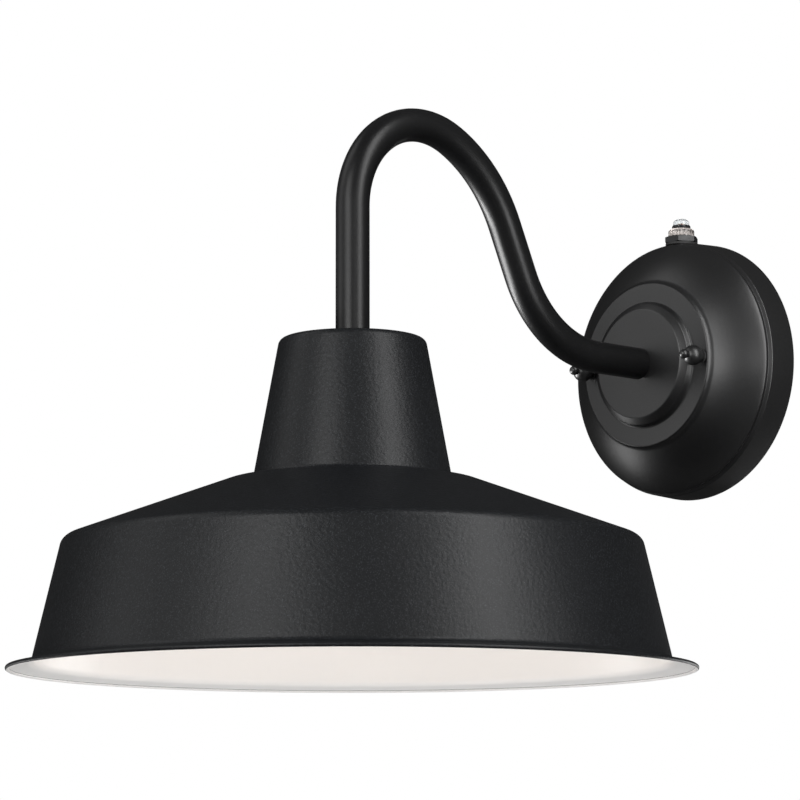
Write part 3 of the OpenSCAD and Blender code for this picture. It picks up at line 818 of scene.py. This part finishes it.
@dataclass
class Gooseneck:
    """Bent tube between the shade and the canopy."""

    leg: float = 63 * MM
    arch_r: float = 46 * MM
    arch_angle: float = 114.0
    fall_r: float = 75 * MM
    fall_angle: float = 41.0
    fall_len: float = 26.4 * MM
    sweep_r: float = 60 * MM
    wall: float = 1.2 * MM
    sides: int = 48
    step_angle: float = 2.5

    def build(self) -> None:
        """Bends a ring of edges step by step from the shade to the canopy."""
        low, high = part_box("gooseneck_arm")
        tube_r = (high.x - low.x) / 2
        mesh = bmesh.new()
        made = bmesh.ops.create_circle(mesh, cap_ends=False, segments=self.sides, radius=tube_r)
        bmesh.ops.translate(mesh, verts=made["verts"], vec=(0, low.y + tube_r, low.z))
        ring = mesh.edges[:]
        heading = 0.0
        end = Vector((0, low.y + tube_r, low.z))
        ring, end = self.straight(mesh, ring, end, heading, self.leg)
        for radius, angle in ((self.arch_r, self.arch_angle), (self.fall_r, self.fall_angle)):
            ring, end, heading = self.bend(mesh, ring, end, heading, radius, angle)
        ring, end = self.straight(mesh, ring, end, heading, self.fall_len)
        ring, end, heading = self.bend(mesh, ring, end, heading, self.sweep_r, 90.0 - heading)
        self.straight(mesh, ring, end, heading, high.y - end.y)
        bmesh.ops.recalc_face_normals(mesh, faces=mesh.faces[:])
        piece = make_piece("gooseneck_tube", mesh, "fixture", (ARM_BLACK,))
        solidify(piece, self.wall)
        stand_for(piece, "black_coat", "gooseneck_arm")

    @staticmethod
    def straight(
        mesh: bmesh.types.BMesh, ring: list, end: Vector, heading: float, length: float
    ) -> tuple[list, Vector]:
        """Lengthens the tube in a straight line.

        Args:
            mesh: The tube's mesh.
            ring: Edges of its open end.
            end: Centre of that end.
            heading: Direction from straight up towards the wall, in degrees.
            length: Length to add.

        Returns:
            The new end's edges and centre.
        """
        way = Vector((0, math.sin(math.radians(heading)), math.cos(math.radians(heading))))
        made = bmesh.ops.extrude_edge_only(mesh, edges=ring)["geom"]
        bmesh.ops.translate(mesh, verts=pick(made, bmesh.types.BMVert), vec=way * length)
        edges = [edge for edge in pick(made, bmesh.types.BMEdge) if edge.is_boundary]
        return edges, end + way * length

    def bend(
        self,
        mesh: bmesh.types.BMesh,
        ring: list,
        end: Vector,
        heading: float,
        radius: float,
        angle: float,
    ) -> tuple[list, Vector, float]:
        """Bends the tube on, towards the wall or, for a negative angle, back.

        Args:
            mesh: The tube's mesh.
            ring: Edges of its open end.
            end: Centre of that end.
            heading: Direction from straight up towards the wall, in degrees.
            radius: Bend radius.
            angle: Angle to turn, in degrees.

        Returns:
            The new end's edges, its centre and the new heading.
        """
        side = math.copysign(1, angle)
        across = Vector((0, math.cos(math.radians(heading)), -math.sin(math.radians(heading)))) * side
        centre = end + across * radius
        turn = Matrix.Rotation(-math.radians(angle), 3, "X")
        made = bmesh.ops.spin(
            mesh, geom=ring + list({v for e in ring for v in e.verts}), cent=centre,
            axis=(1, 0, 0), dvec=(0, 0, 0), angle=-math.radians(angle),
            steps=max(6, round(abs(angle) / self.step_angle)), use_merge=False,
        )["geom_last"]
        edges = pick(made, bmesh.types.BMEdge)
        return edges, centre + turn @ (end - centre), heading + angle


@dataclass
class Canopy:
    """Pressed wall canopy with band, groove, bead, dome, ring and disc."""

    band_w: float = 15.6 * MM
    band_taper: float = 0.8 * MM
    groove: float = 1.7 * MM
    groove_h: float = 1.4 * MM
    bead_drop: float = 0.8 * MM
    bead_h: float = 3 * MM
    dome_drop: float = 2.2 * MM
    dome_foot: float = 4.8 * MM
    dome_bulge: float = 1.2 * MM
    ring_r: float = 41.9 * MM
    dome_top_gap: float = 0.7 * MM
    dome_top_drop: float = 2 * MM
    disc_step: float = 5.4 * MM
    disc_foot_r: float = 31.5 * MM
    disc_foot_gap: float = 0.5 * MM
    disc_waist: float = 0.4 * MM
    disc_waist_share: float = 0.55
    disc_top_r: float = 27.75 * MM
    hole_r: float = 5.2 * MM
    sheet: float = 1 * MM
    dome_points: int = 14
    steps: int = 192

    def dome(self, foot: Vector, top: Vector) -> list[Corner]:
        """Bulges a straight cone outwards along a parabola.

        Args:
            foot: Radius and height of the dome's foot.
            top: Radius and height of its top.

        Returns:
            The corners of the dome's outline.
        """
        out = Vector((top.y - foot.y, foot.x - top.x)).normalized()
        shares = (i / self.dome_points for i in range(self.dome_points + 1))
        points = (foot.lerp(top, t) + out * 4 * self.dome_bulge * t * (1 - t) for t in shares)
        return [Corner(point.x, point.y) for point in points]

    def build(self) -> None:
        """Builds the canopy's shell."""
        low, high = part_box("canopy")
        band_r = (high.x - low.x) / 2
        depth = high.y - low.y
        front_r = band_r - self.band_taper
        ring_h = depth - self.disc_step
        foot = Vector((front_r - self.dome_drop, self.band_w + self.dome_foot))
        top = Vector((self.ring_r + self.dome_top_gap, ring_h - self.dome_top_drop))
        waist_h = ring_h + self.disc_waist_share * self.disc_step
        outline = draw_outline(
            [
                Corner(band_r, 0),
                Corner(front_r, self.band_w, 0.8 * MM),
                Corner(front_r - self.groove, self.band_w + self.groove_h, 0.5 * MM),
                Corner(front_r - self.bead_drop, self.band_w + self.bead_h, 1.4 * MM),
                *self.dome(foot, top),
                Corner(self.ring_r, ring_h, 1 * MM),
                Corner(self.disc_foot_r + self.disc_foot_gap, ring_h, 1.2 * MM),
                Corner(self.disc_foot_r - self.disc_waist, waist_h, 1 * MM),
                Corner(self.disc_top_r, depth, 1.8 * MM),
                Corner(self.hole_r, depth),
            ]
        )
        mesh = turn_outline(outline, self.steps)
        piece = make_piece("canopy_shell", mesh, "fixture", (CANOPY_BLACK,), wall_place(), 60.0)
        solidify(piece, self.sheet)
        stand_for(piece, "black_coat", "canopy")


class Side(Enum):
    """The two sides of the canopy, seen from the room."""

    LEFT = -1
    RIGHT = 1


@dataclass
class BallNut:
    """Turned ball nut that holds the canopy on its stud."""

    side: Side
    ball_r: float = 5.1 * MM
    collar_r: float = 3.2 * MM
    collar_t: float = 1.2 * MM
    ball_sink: float = 0.9 * MM
    button_r: float = 2.4 * MM
    neck_r: float = 1.9 * MM
    bore_r: float = 2.1 * MM
    bore_depth: float = 8 * MM
    bore_tip: float = 1 * MM
    arc_points: int = 14

    def build(self) -> None:
        """Turns the nut from one outline."""
        node = f"ball_nut_{self.side.name.lower()}"
        low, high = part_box(node)
        foot, tip = -high.y, -low.y
        ball_h = foot + self.collar_t + self.ball_r - self.ball_sink
        button_h = tip - self.button_r
        seat = math.asin(self.collar_r / self.ball_r)
        neck = math.pi - math.asin(self.neck_r / self.ball_r)
        lip = math.asin(self.neck_r / self.button_r)
        outline = draw_outline(
            [
                Corner(0, foot + self.bore_depth),
                Corner(self.bore_r, foot + self.bore_depth - self.bore_tip),
                Corner(self.bore_r, foot),
                Corner(self.collar_r, foot, 0.25 * MM),
                *arc(self.ball_r, ball_h, seat, neck, self.arc_points),
                *arc(self.button_r, button_h, lip, math.pi, self.arc_points),
            ]
        )
        place = Matrix.Translation(((low.x + high.x) / 2, 0, 0)) @ wall_place()
        piece = make_piece(f"{node}_turned", turn_outline(outline, 64), node, (CANOPY_BLACK,), place)
        stand_for(piece, "black_coat", node)


@dataclass
class SensorHead:
    """Dusk sensor on the canopy: hex nut, threaded barrel, ring, cell and clear cap."""

    body: str = "fixture"
    barrel_r: float = 6.7 * MM
    flange_t: float = 1.6 * MM
    pitch: float = 1.1 * MM
    thread: float = 0.25 * MM
    ribs: int = 20
    rib_depth: float = 0.3 * MM
    rib_h: float = 3.6 * MM
    rib_reach: float = 1 * MM
    end_chamfer: float = 0.8 * MM
    end_chamfer_h: float = 1 * MM
    bore_gap: float = 0.05 * MM
    cell_r: float = 2.5 * MM
    cell_gap: float = 0.2 * MM
    cap_wall: float = 0.7 * MM
    cap_roof: float = 1.2 * MM
    nut_cuts: int = 7
    top_chamfer: float = 0.35
    foot_chamfer: float = 0.2

    def build(self) -> None:
        """Builds the visible pieces of the sensor."""
        self.build_barrel()
        self.build_nut()
        self.build_ring()
        self.build_cell()
        self.build_cap()

    def build_barrel(self) -> None:
        """Turns the barrel with its flange and thread, and ribs its end."""
        place, flange_r, height = upright("sensor_barrel")
        root = self.barrel_r - self.thread
        thread_h = height - self.rib_h
        turns = int((thread_h - self.flange_t) / self.pitch)
        first = thread_h - turns * self.pitch
        thread = [
            Corner(r, first + (i + share) * self.pitch)
            for i in range(turns)
            for r, share in ((root, 0.0), (self.barrel_r, 0.3), (self.barrel_r, 0.55), (root, 0.85))
        ]
        outline = draw_outline(
            [
                Corner(0, 0),
                Corner(flange_r, 0, 0.3 * MM),
                Corner(flange_r, self.flange_t, 0.3 * MM),
                Corner(root, self.flange_t),
                *thread,
                Corner(self.barrel_r, thread_h + 0.1 * MM),
                Corner(self.barrel_r, height - self.end_chamfer_h, 0.2 * MM),
                Corner(self.barrel_r - self.end_chamfer, height, 0.2 * MM),
                Corner(0, height),
            ],
            segments=4,
        )
        mesh = turn_outline(outline, 6 * self.ribs)
        for vert in mesh.verts:
            radius = Vector(vert.co.xy).length
            if vert.co.z > thread_h and radius > self.barrel_r - self.rib_reach:
                wave = math.cos(self.ribs * math.atan2(vert.co.y, vert.co.x))
                vert.co.xy *= 1 - self.rib_depth / radius * (0.5 - 0.5 * wave)
        piece = make_piece("sensor_barrel_threaded", mesh, self.body, (SMOKED,), place, 50.0)
        stand_for(piece, "smoked_plastic", "sensor_barrel")

    def build_nut(self) -> None:
        """Makes the hex nut with a round bore, chamfered corners and broken edges."""
        place, flat_r, height = upright("sensor_nut")
        half_flat = math.radians(30)
        corner_r = flat_r / math.cos(half_flat)
        turn = Matrix.Rotation(half_flat, 4, "Z")
        mesh = bmesh.new()
        bmesh.ops.create_circle(mesh, cap_ends=False, segments=6, radius=corner_r, matrix=turn)
        bmesh.ops.subdivide_edges(mesh, edges=mesh.edges[:], cuts=self.nut_cuts)
        outer = mesh.verts[:]
        made = bmesh.ops.extrude_edge_only(mesh, edges=mesh.edges[:])["geom"]
        bore_r = self.barrel_r + self.bore_gap
        for vert in pick(made, bmesh.types.BMVert):
            vert.co *= bore_r / vert.co.length
        made = bmesh.ops.extrude_face_region(mesh, geom=mesh.faces[:])["geom"]
        top = pick(made, bmesh.types.BMVert)
        bmesh.ops.translate(mesh, verts=top, vec=(0, 0, height))
        for verts, slope in ((top, -self.top_chamfer), (outer, self.foot_chamfer)):
            for vert in verts:
                vert.co.z += slope * max(Vector(vert.co.xy).length - flat_r, 0)
        bmesh.ops.recalc_face_normals(mesh, faces=mesh.faces[:])
        piece = make_piece("sensor_nut_hex", mesh, self.body, (BLACK_PLASTIC,), place, 25.0)
        soften(piece, 0.25 * MM, 40.0)
        stand_for(piece, "black_plastic", "sensor_nut")

    def build_ring(self) -> None:
        """Turns the dark ring under the cap."""
        place, radius, height = upright("sensor_ring")
        inside = self.cell_r + self.cell_gap
        piece = turn_piece(
            "sensor_ring_turned",
            [
                Corner(inside, 0),
                Corner(radius - 0.5 * MM, 0, 0.1 * MM),
                Corner(radius, 0.4 * height, 0.3 * MM),
                Corner(radius - 0.15 * MM, height, 0.4 * MM),
                Corner(inside, height),
            ],
            self.body, BLACK_PLASTIC, place, closed=True,
        )
        stand_for(piece, "black_plastic", "sensor_ring")

    def build_cell(self) -> None:
        """Turns the light cell, with its track on top."""
        place, radius, height = upright("sensor_cell")
        piece = turn_piece(
            "sensor_cell_disc",
            [Corner(0, 0), Corner(radius, 0), Corner(radius, height, 0.3 * MM), Corner(0, height)],
            self.body, CELL, place,
        )
        stand_for(piece, "cell_face", "sensor_cell")

    def build_cap(self) -> None:
        """Turns the clear cap, domed outside and hollow inside."""
        place, radius, height = upright("sensor_cap")
        inside = radius - self.cap_wall
        piece = turn_piece(
            "sensor_cap_clear",
            [
                Corner(inside, 0),
                Corner(radius, 0, 0.15 * MM),
                Corner(radius, 0.62 * height, 0.9 * MM),
                Corner(0.62 * radius, 0.94 * height, 1.2 * MM),
                Corner(0, height),
                Corner(0, height - self.cap_roof),
                Corner(inside, height - self.cap_roof, 0.5 * MM),
            ],
            self.body, CLEAR, place, closed=True,
        )
        stand_for(piece, "clear_plastic", "sensor_cap")


@dataclass
class Bulb:
    """Frosted globe bulb with its collar and screw base."""

    body: str = "bulb"
    thread_pitch: float = 3.6 * MM
    thread_depth: float = 0.9 * MM
    thread_points: int = 6
    thread_start: float = 1.2 * MM
    thread_margin: float = 2 * MM
    globe_wall: float = 1.2 * MM
    globe_share: float = 0.62
    glass_foot_r: float = 8 * MM
    glass_top_r: float = 5 * MM
    glass_h: float = 3 * MM
    arc_points: int = 28
    flare_points: int = 14
    flare_power: float = 1.6
    steps: int = 96

    def build(self) -> None:
        """Builds the bulb's pieces from the contact down."""
        self.build_base()
        self.build_contact()
        self.build_collar()
        self.build_globe()

    def build_base(self) -> None:
        """Rolls the thread of the screw base and adds the glass under the contact."""
        place, radius, height = upright("bulb_base")
        shell_top = height - self.glass_h
        turns = int((shell_top - self.thread_margin) / self.thread_pitch)
        mid = radius - self.thread_depth / 2
        count = turns * self.thread_points
        thread = [
            Corner(
                mid - self.thread_depth / 2 * math.cos(TURN * i / self.thread_points),
                self.thread_start + i * self.thread_pitch / self.thread_points,
            )
            for i in range(count + 1)
        ]
        piece = turn_piece(
            "bulb_screw_base",
            [
                Corner(0, 0),
                Corner(radius - 0.3 * MM, 0, 0.2 * MM),
                *thread,
                Corner(radius - 1.5 * MM, shell_top, 0.4 * MM),
                Corner(self.glass_foot_r, shell_top + 1 * MM),
                Corner(0, shell_top + 1 * MM),
            ],
            self.body, BULB_METAL, place, steps=self.steps,
        )
        stand_for(piece, "bulb_metal", "bulb_base")
        glass = turn_piece(
            "bulb_base_glass",
            [
                Corner(0, shell_top + 0.9 * MM),
                Corner(self.glass_foot_r, shell_top + 0.9 * MM),
                Corner(self.glass_foot_r - 0.6 * MM, shell_top + 1.8 * MM, 0.4 * MM),
                Corner(self.glass_top_r, height, 0.4 * MM),
                Corner(0, height),
            ],
            self.body, BASE_GLASS, place,
        )

    def build_contact(self) -> None:
        """Turns the solder button at the tip."""
        place, radius, height = upright("bulb_contact")
        piece = turn_piece(
            "bulb_contact_button",
            [
                Corner(0, 0),
                Corner(radius, 0, 0.1 * MM),
                Corner(radius * 0.85, 0.55 * height, 0.4 * MM),
                Corner(radius * 0.45, 0.95 * height, 0.6 * MM),
                Corner(0, height),
            ],
            self.body, BULB_METAL, place,
        )
        stand_for(piece, "yellow_brass", "bulb_contact")

    def build_collar(self) -> None:
        """Turns the white collar with a seam groove above the globe."""
        place, radius, height = upright("bulb_collar")
        neck_r = upright("bulb_base")[1] - 0.6 * MM
        foot = 0.4 * MM
        flare = [
            Corner(neck_r + (radius - neck_r) * (1 - t) ** self.flare_power, foot + (height - foot) * t)
            for t in (i / self.flare_points for i in range(self.flare_points + 1))
        ]
        piece = turn_piece(
            "bulb_collar_flared",
            [
                Corner(0, 0),
                Corner(radius - 0.4 * MM, 0),
                Corner(radius - 0.4 * MM, 0.35 * MM),
                *flare,
                Corner(0, height),
            ],
            self.body, WHITE_PLASTIC, place, steps=self.steps,
        )
        stand_for(piece, "bulb_plastic", "bulb_collar")

    def build_globe(self) -> None:
        """Blows the frosted globe, open under the collar."""
        place, radius, height = upright("bulb_globe")
        end = math.pi - math.acos(self.globe_share)
        outline = arc(radius, radius, 0.0, end, self.arc_points)
        piece = turn_piece("bulb_globe_frosted", outline, self.body, GLOBE, place, steps=self.steps)
        solidify(piece, self.globe_wall)
        stand_for(piece, "frosted_globe", "bulb_globe")


@dataclass
class WireNut:
    """Fluted twist-on connector on one pair of leads."""

    node: str
    side: Side
    splice_h: float = 19 * MM
    lead_x: float = 1.5 * MM
    angle: float = 35.0
    shift: float = 1.3 * MM
    start: float = 14 * MM
    skirt_r: float = 5.6 * MM
    tip_r: float = 4 * MM
    length: float = 20 * MM
    hole_r: float = 2.8 * MM
    hole_len: float = 13 * MM
    skirt_share: float = 0.35
    cone_points: int = 8
    flutes: int = 18
    flute_share: float = 0.035

    def build(self) -> None:
        """Turns the connector and presses the flutes into its skin."""
        side = self.side.value
        place = (
            wall_place()
            @ Matrix.Translation((side * self.lead_x, 0, self.splice_h))
            @ Matrix.Rotation(math.radians(90), 4, "X")
            @ Matrix.Rotation(math.radians(side * self.angle), 4, "Y")
            @ Matrix.Translation((side * self.shift, 0, self.start))
        )
        rise = self.skirt_share * self.length
        foot = Vector((self.skirt_r, rise))
        tip = Vector((self.tip_r, self.length - 1 * MM))
        points = (foot.lerp(tip, i / self.cone_points) for i in range(self.cone_points + 1))
        cone = [Corner(point.x, point.y) for point in points]
        outline = draw_outline(
            [
                Corner(0, self.hole_len),
                Corner(self.hole_r, self.hole_len),
                Corner(self.hole_r, 0, 0.3 * MM),
                Corner(self.skirt_r, 0, 0.4 * MM),
                Corner(self.skirt_r, 0.25 * rise),
                *cone,
                Corner(self.tip_r - 1 * MM, self.length, 0.4 * MM),
                Corner(0, self.length),
            ]
        )
        mesh = turn_outline(outline, 4 * self.flutes)
        for vert in mesh.verts:
            radius = Vector(vert.co.xy).length
            if radius > self.hole_r + 0.3 * MM and vert.co.z > 0.2 * rise:
                wave = math.cos(self.flutes * math.atan2(vert.co.y, vert.co.x))
                vert.co.xy *= 1 - self.flute_share * (1 - wave)
        piece = make_piece(f"{self.node}_fluted", mesh, "fixture", (ORANGE_PLASTIC,), place, 60.0)
        stand_for(piece, "wire_nut_plastic", self.node)


REFINED = (
    ("box_strap", "crossbar", "zinc_steel", ZINC, 0.25 * MM),
    ("swivel_eyelet", "crossbar", "zinc_steel", ZINC, 0.15 * MM),
    ("stud_strap", "fixture", "zinc_steel", ZINC, 0.25 * MM),
    ("canopy_studs", "fixture", "zinc_steel", ZINC, 0.2 * MM),
    ("stud_locknuts", "fixture", "zinc_steel", ZINC, 0.3 * MM),
    ("ground_screw", "fixture", "green_paint", GREEN_DIP, 0.25 * MM),
    ("ground_lead", "fixture", "green_sleeve", SLEEVE_GREEN, 0),
    ("wall_gasket", "fixture", "gasket_foam", FOAM, 0.4 * MM),
    ("canopy_washer", "fixture", "zinc_steel", ZINC, 0.15 * MM),
    ("canopy_lock_washer", "fixture", "zinc_steel", ZINC, 0.12 * MM),
    ("canopy_nut", "fixture", "yellow_brass", BRASS, 0.3 * MM),
    ("wall_nipple", "fixture", "zinc_steel", ZINC, 0.2 * MM),
    ("arm_insert_wall", "fixture", "zinc_steel", ZINC, 0.2 * MM),
    ("arm_insert_shade", "fixture", "zinc_steel", ZINC, 0.2 * MM),
    ("shade_nipple", "fixture", "zinc_steel", ZINC, 0.2 * MM),
    ("shade_seal", "fixture", "black_rubber", RUBBER, 0.2 * MM),
    ("socket_bracket", "fixture", "zinc_steel", ZINC, 0.2 * MM),
    ("shade_lock_washer", "fixture", "zinc_steel", ZINC, 0.12 * MM),
    ("shade_nut", "fixture", "yellow_brass", BRASS, 0.3 * MM),
    ("socket_body", "fixture", "porcelain", PORCELAIN, 0.5 * MM),
    ("socket_screws", "fixture", "zinc_steel", ZINC, 0.25 * MM),
    ("screw_shell", "fixture", "yellow_brass", BRASS, 0.1 * MM),
    ("lamp_lead_black", "fixture", "black_sleeve", SLEEVE_BLACK, 0),
    ("lamp_lead_white", "fixture", "white_sleeve", SLEEVE_WHITE, 0),
    ("sensor_lead_black", "fixture", "black_sleeve", SLEEVE_BLACK, 0),
    ("sensor_lead_white", "fixture", "white_sleeve", SLEEVE_WHITE, 0),
    ("sensor_lead_red", "fixture", "red_sleeve", SLEEVE_RED, 0),
    ("sensor_module", "fixture", "black_plastic", BLACK_PLASTIC, 0.8 * MM),
    ("sensor_seal", "fixture", "black_rubber", RUBBER, 0.2 * MM),
    ("seal_washer_left", "seal_washer_left", "black_rubber", RUBBER, 0.15 * MM),
    ("seal_washer_right", "seal_washer_right", "black_rubber", RUBBER, 0.15 * MM),
)


# ----------------------------------------------------------------------- studio


@dataclass(frozen=True)
class Lamp:
    """Soft box that looks at the object from an azimuth and a height, in degrees."""

    name: str
    azimuth: float
    height: float
    distance: float
    size: tuple[float, float]
    power: float
    only: tuple[str, ...] = ()

    def hang(self, aim: Vector) -> None:
        """Hangs the lamp and, where it names pieces, screens all others off from it.

        Args:
            aim: Point that the lamp looks at.
        """
        data = bpy.data.lights.new(self.name, "AREA")
        data.shape = "RECTANGLE"
        data.size, data.size_y = self.size
        data.energy = self.power
        lamp = bpy.data.objects.new(self.name, data)
        a, e = math.radians(self.azimuth), math.radians(self.height)
        back = Vector((math.sin(a) * math.cos(e), -math.cos(a) * math.cos(e), math.sin(e)))
        turn = (-back).to_track_quat("-Z", "Y").to_matrix().to_4x4()
        lamp.matrix_world = Matrix.Translation(aim + back * self.distance) @ turn
        bpy.context.scene.collection.objects.link(lamp)
        if self.only:
            lit = bpy.data.collections.new(f"lit_by_{self.name}")
            for piece in self.only:
                lit.objects.link(bpy.data.objects[piece])
            lamp.light_linking.receiver_collection = lit


LAMPS = (
    Lamp("key_right", 96, 22, 0.8, (0.3, 1.2), 6.8),
    Lamp("core_left", 10, 18, 1.0, (0.46, 0.85), 4.2),
    Lamp("front_spot", 24, 8, 1.0, (0.3, 0.25), 1.2),
    Lamp("front_low", 60, 8, 1.2, (0.4, 0.3), 0.8),
    Lamp("fill_left", -42, 14, 1.4, (0.7, 1.3), 2.9),
    Lamp("fill_high", -50, 50, 1.3, (0.7, 0.6), 1.3),
    Lamp("low_left", -82, -24, 1.2, (0.45, 0.35), 1.6),
    Lamp("back", 185, -16, 1.3, (0.6, 0.5), 2.6),
    Lamp(
        "arm_edge", -58, -24, 1.2, (1.1, 0.25), 22.0,
        only=("gooseneck_tube", "ball_nut_left_turned", "ball_nut_right_turned"),
    ),
)


@dataclass
class Studio:
    """Camera, pale floor, world and soft lamps."""

    camera_place: Triple = (1.1702, -1.3405, -0.27234)
    azimuth: float = 46.02
    rise: float = 8.29
    roll: float = -0.09
    lens: float = 156.4
    aim: Triple = (0, -0.22, -0.03)
    floor_middle: Triple = (0, -0.2, -0.42)
    floor_r: float = 0.75
    floor_fade: tuple[float, float] = (0.3, 0.7)
    ambient: float = 0.58
    gloss_front: float = 0.13
    gloss_back: float = 0.03
    dark_way: Triple = (-0.75, 0.66, -0.35)
    dark_fade: tuple[float, float] = (-0.1, 0.7)

    def build(self) -> None:
        """Builds the whole studio."""
        self.place_camera()
        self.lay_floor()
        self.light_world()
        for lamp in LAMPS:
            lamp.hang(Vector(self.aim))
        bpy.context.scene.view_settings.view_transform = "Standard"

    def place_camera(self) -> None:
        """Puts the camera at the viewing angle."""
        data = bpy.data.cameras.new("camera")
        data.lens = self.lens
        data.sensor_width = 36
        camera = bpy.data.objects.new("camera", data)
        azimuth, rise = math.radians(self.azimuth), math.radians(self.rise)
        look = Vector(
            (-math.sin(azimuth) * math.cos(rise), math.cos(azimuth) * math.cos(rise), math.sin(rise))
        )
        turn = look.to_track_quat("-Z", "Y").to_matrix().to_4x4()
        tilt = Matrix.Rotation(math.radians(self.roll), 4, "Z")
        camera.matrix_world = Matrix.Translation(self.camera_place) @ turn @ tilt
        bpy.context.scene.collection.objects.link(camera)
        bpy.context.scene.camera = camera

    def lay_floor(self) -> None:
        """Lays a round pale floor that fades out and is clear from below and to gloss."""
        mesh = bmesh.new()
        bmesh.ops.create_circle(mesh, cap_ends=True, segments=96, radius=self.floor_r)
        bmesh.ops.translate(mesh, verts=mesh.verts[:], vec=self.floor_middle)
        data = bpy.data.meshes.new("floor")
        mesh.to_mesh(data)
        mesh.free()
        graph = MaterialGraph("floor")
        graph.set(Base_Color=(0.8, 0.8, 0.8), Roughness=0.8, Specular_IOR_Level=0.1)
        clear = graph.node("ShaderNodeBsdfTransparent")
        sides = graph.node("ShaderNodeNewGeometry")
        path = graph.node("ShaderNodeLightPath")
        reach = graph.node("ShaderNodeVectorMath")
        reach.operation = "DISTANCE"
        graph.join(graph.coords, reach.inputs[0])
        reach.inputs[1].default_value = self.floor_middle
        faded = graph.ramp(reach.outputs["Value"], *self.floor_fade)
        for cause in (sides.outputs["Backfacing"], path.outputs["Is Glossy Ray"]):
            faded = graph.calculate("MAXIMUM", faded, cause)
        mix = graph.node("ShaderNodeMixShader")
        graph.join(faded, mix.inputs[0])
        graph.join(graph.shader.outputs[0], mix.inputs[1])
        graph.join(clear.outputs[0], mix.inputs[2])
        graph.join(mix.outputs[0], graph.surface)
        data.materials.append(graph.material)
        floor = bpy.data.objects.new("floor", data)
        bpy.context.scene.collection.objects.link(floor)

    def light_world(self) -> None:
        """Makes the world white to look at and soft as a light.

        Gloss sees the white too, bright in front of the light and dim behind it.
        """
        world = bpy.data.worlds.new("studio")
        bpy.context.scene.world = world
        world.use_nodes = True
        graph = Graph(world.node_tree)
        path = graph.node("ShaderNodeLightPath").outputs
        way = graph.node("ShaderNodeVectorMath")
        way.operation = "DOT_PRODUCT"
        graph.join(graph.node("ShaderNodeTexCoord").outputs["Generated"], way.inputs[0])
        way.inputs[1].default_value = Vector(self.dark_way).normalized()
        fade = graph.ramp(way.outputs["Value"], *self.dark_fade, self.gloss_front, self.gloss_back)
        gloss = graph.calculate("MULTIPLY", path["Is Glossy Ray"], fade)
        seen = graph.calculate("MAXIMUM", path["Is Camera Ray"], path["Is Transmission Ray"])
        soft = graph.calculate("MULTIPLY", path["Is Diffuse Ray"], self.ambient)
        level = graph.calculate("MAXIMUM", graph.calculate("MAXIMUM", seen, gloss), soft)
        white = graph.node("ShaderNodeBackground")
        white.inputs["Color"].default_value = (1, 1, 1, 1)
        graph.join(level, white.inputs["Strength"])
        out = graph.node("ShaderNodeOutputWorld")
        graph.join(white.outputs[0], out.inputs[0])


def main() -> None:
    """Builds every piece and reports it."""
    logging.basicConfig(level=logging.INFO, format="%(name)s: %(message)s")
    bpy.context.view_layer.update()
    Shade().build()
    Gooseneck().build()
    Canopy().build()
    for side in Side:
        BallNut(side).build()
    SensorHead().build()
    Bulb().build()
    WireNut("wire_nut_load", Side.RIGHT).build()
    WireNut("wire_nut_neutral", Side.LEFT).build()
    for node, body, slot, finish, edge in REFINED:
        refine(node, body, slot, finish, edge)
    dress(BRASS, "centre_contact")
    Studio().build()


if __name__ == "__main__":
    main()
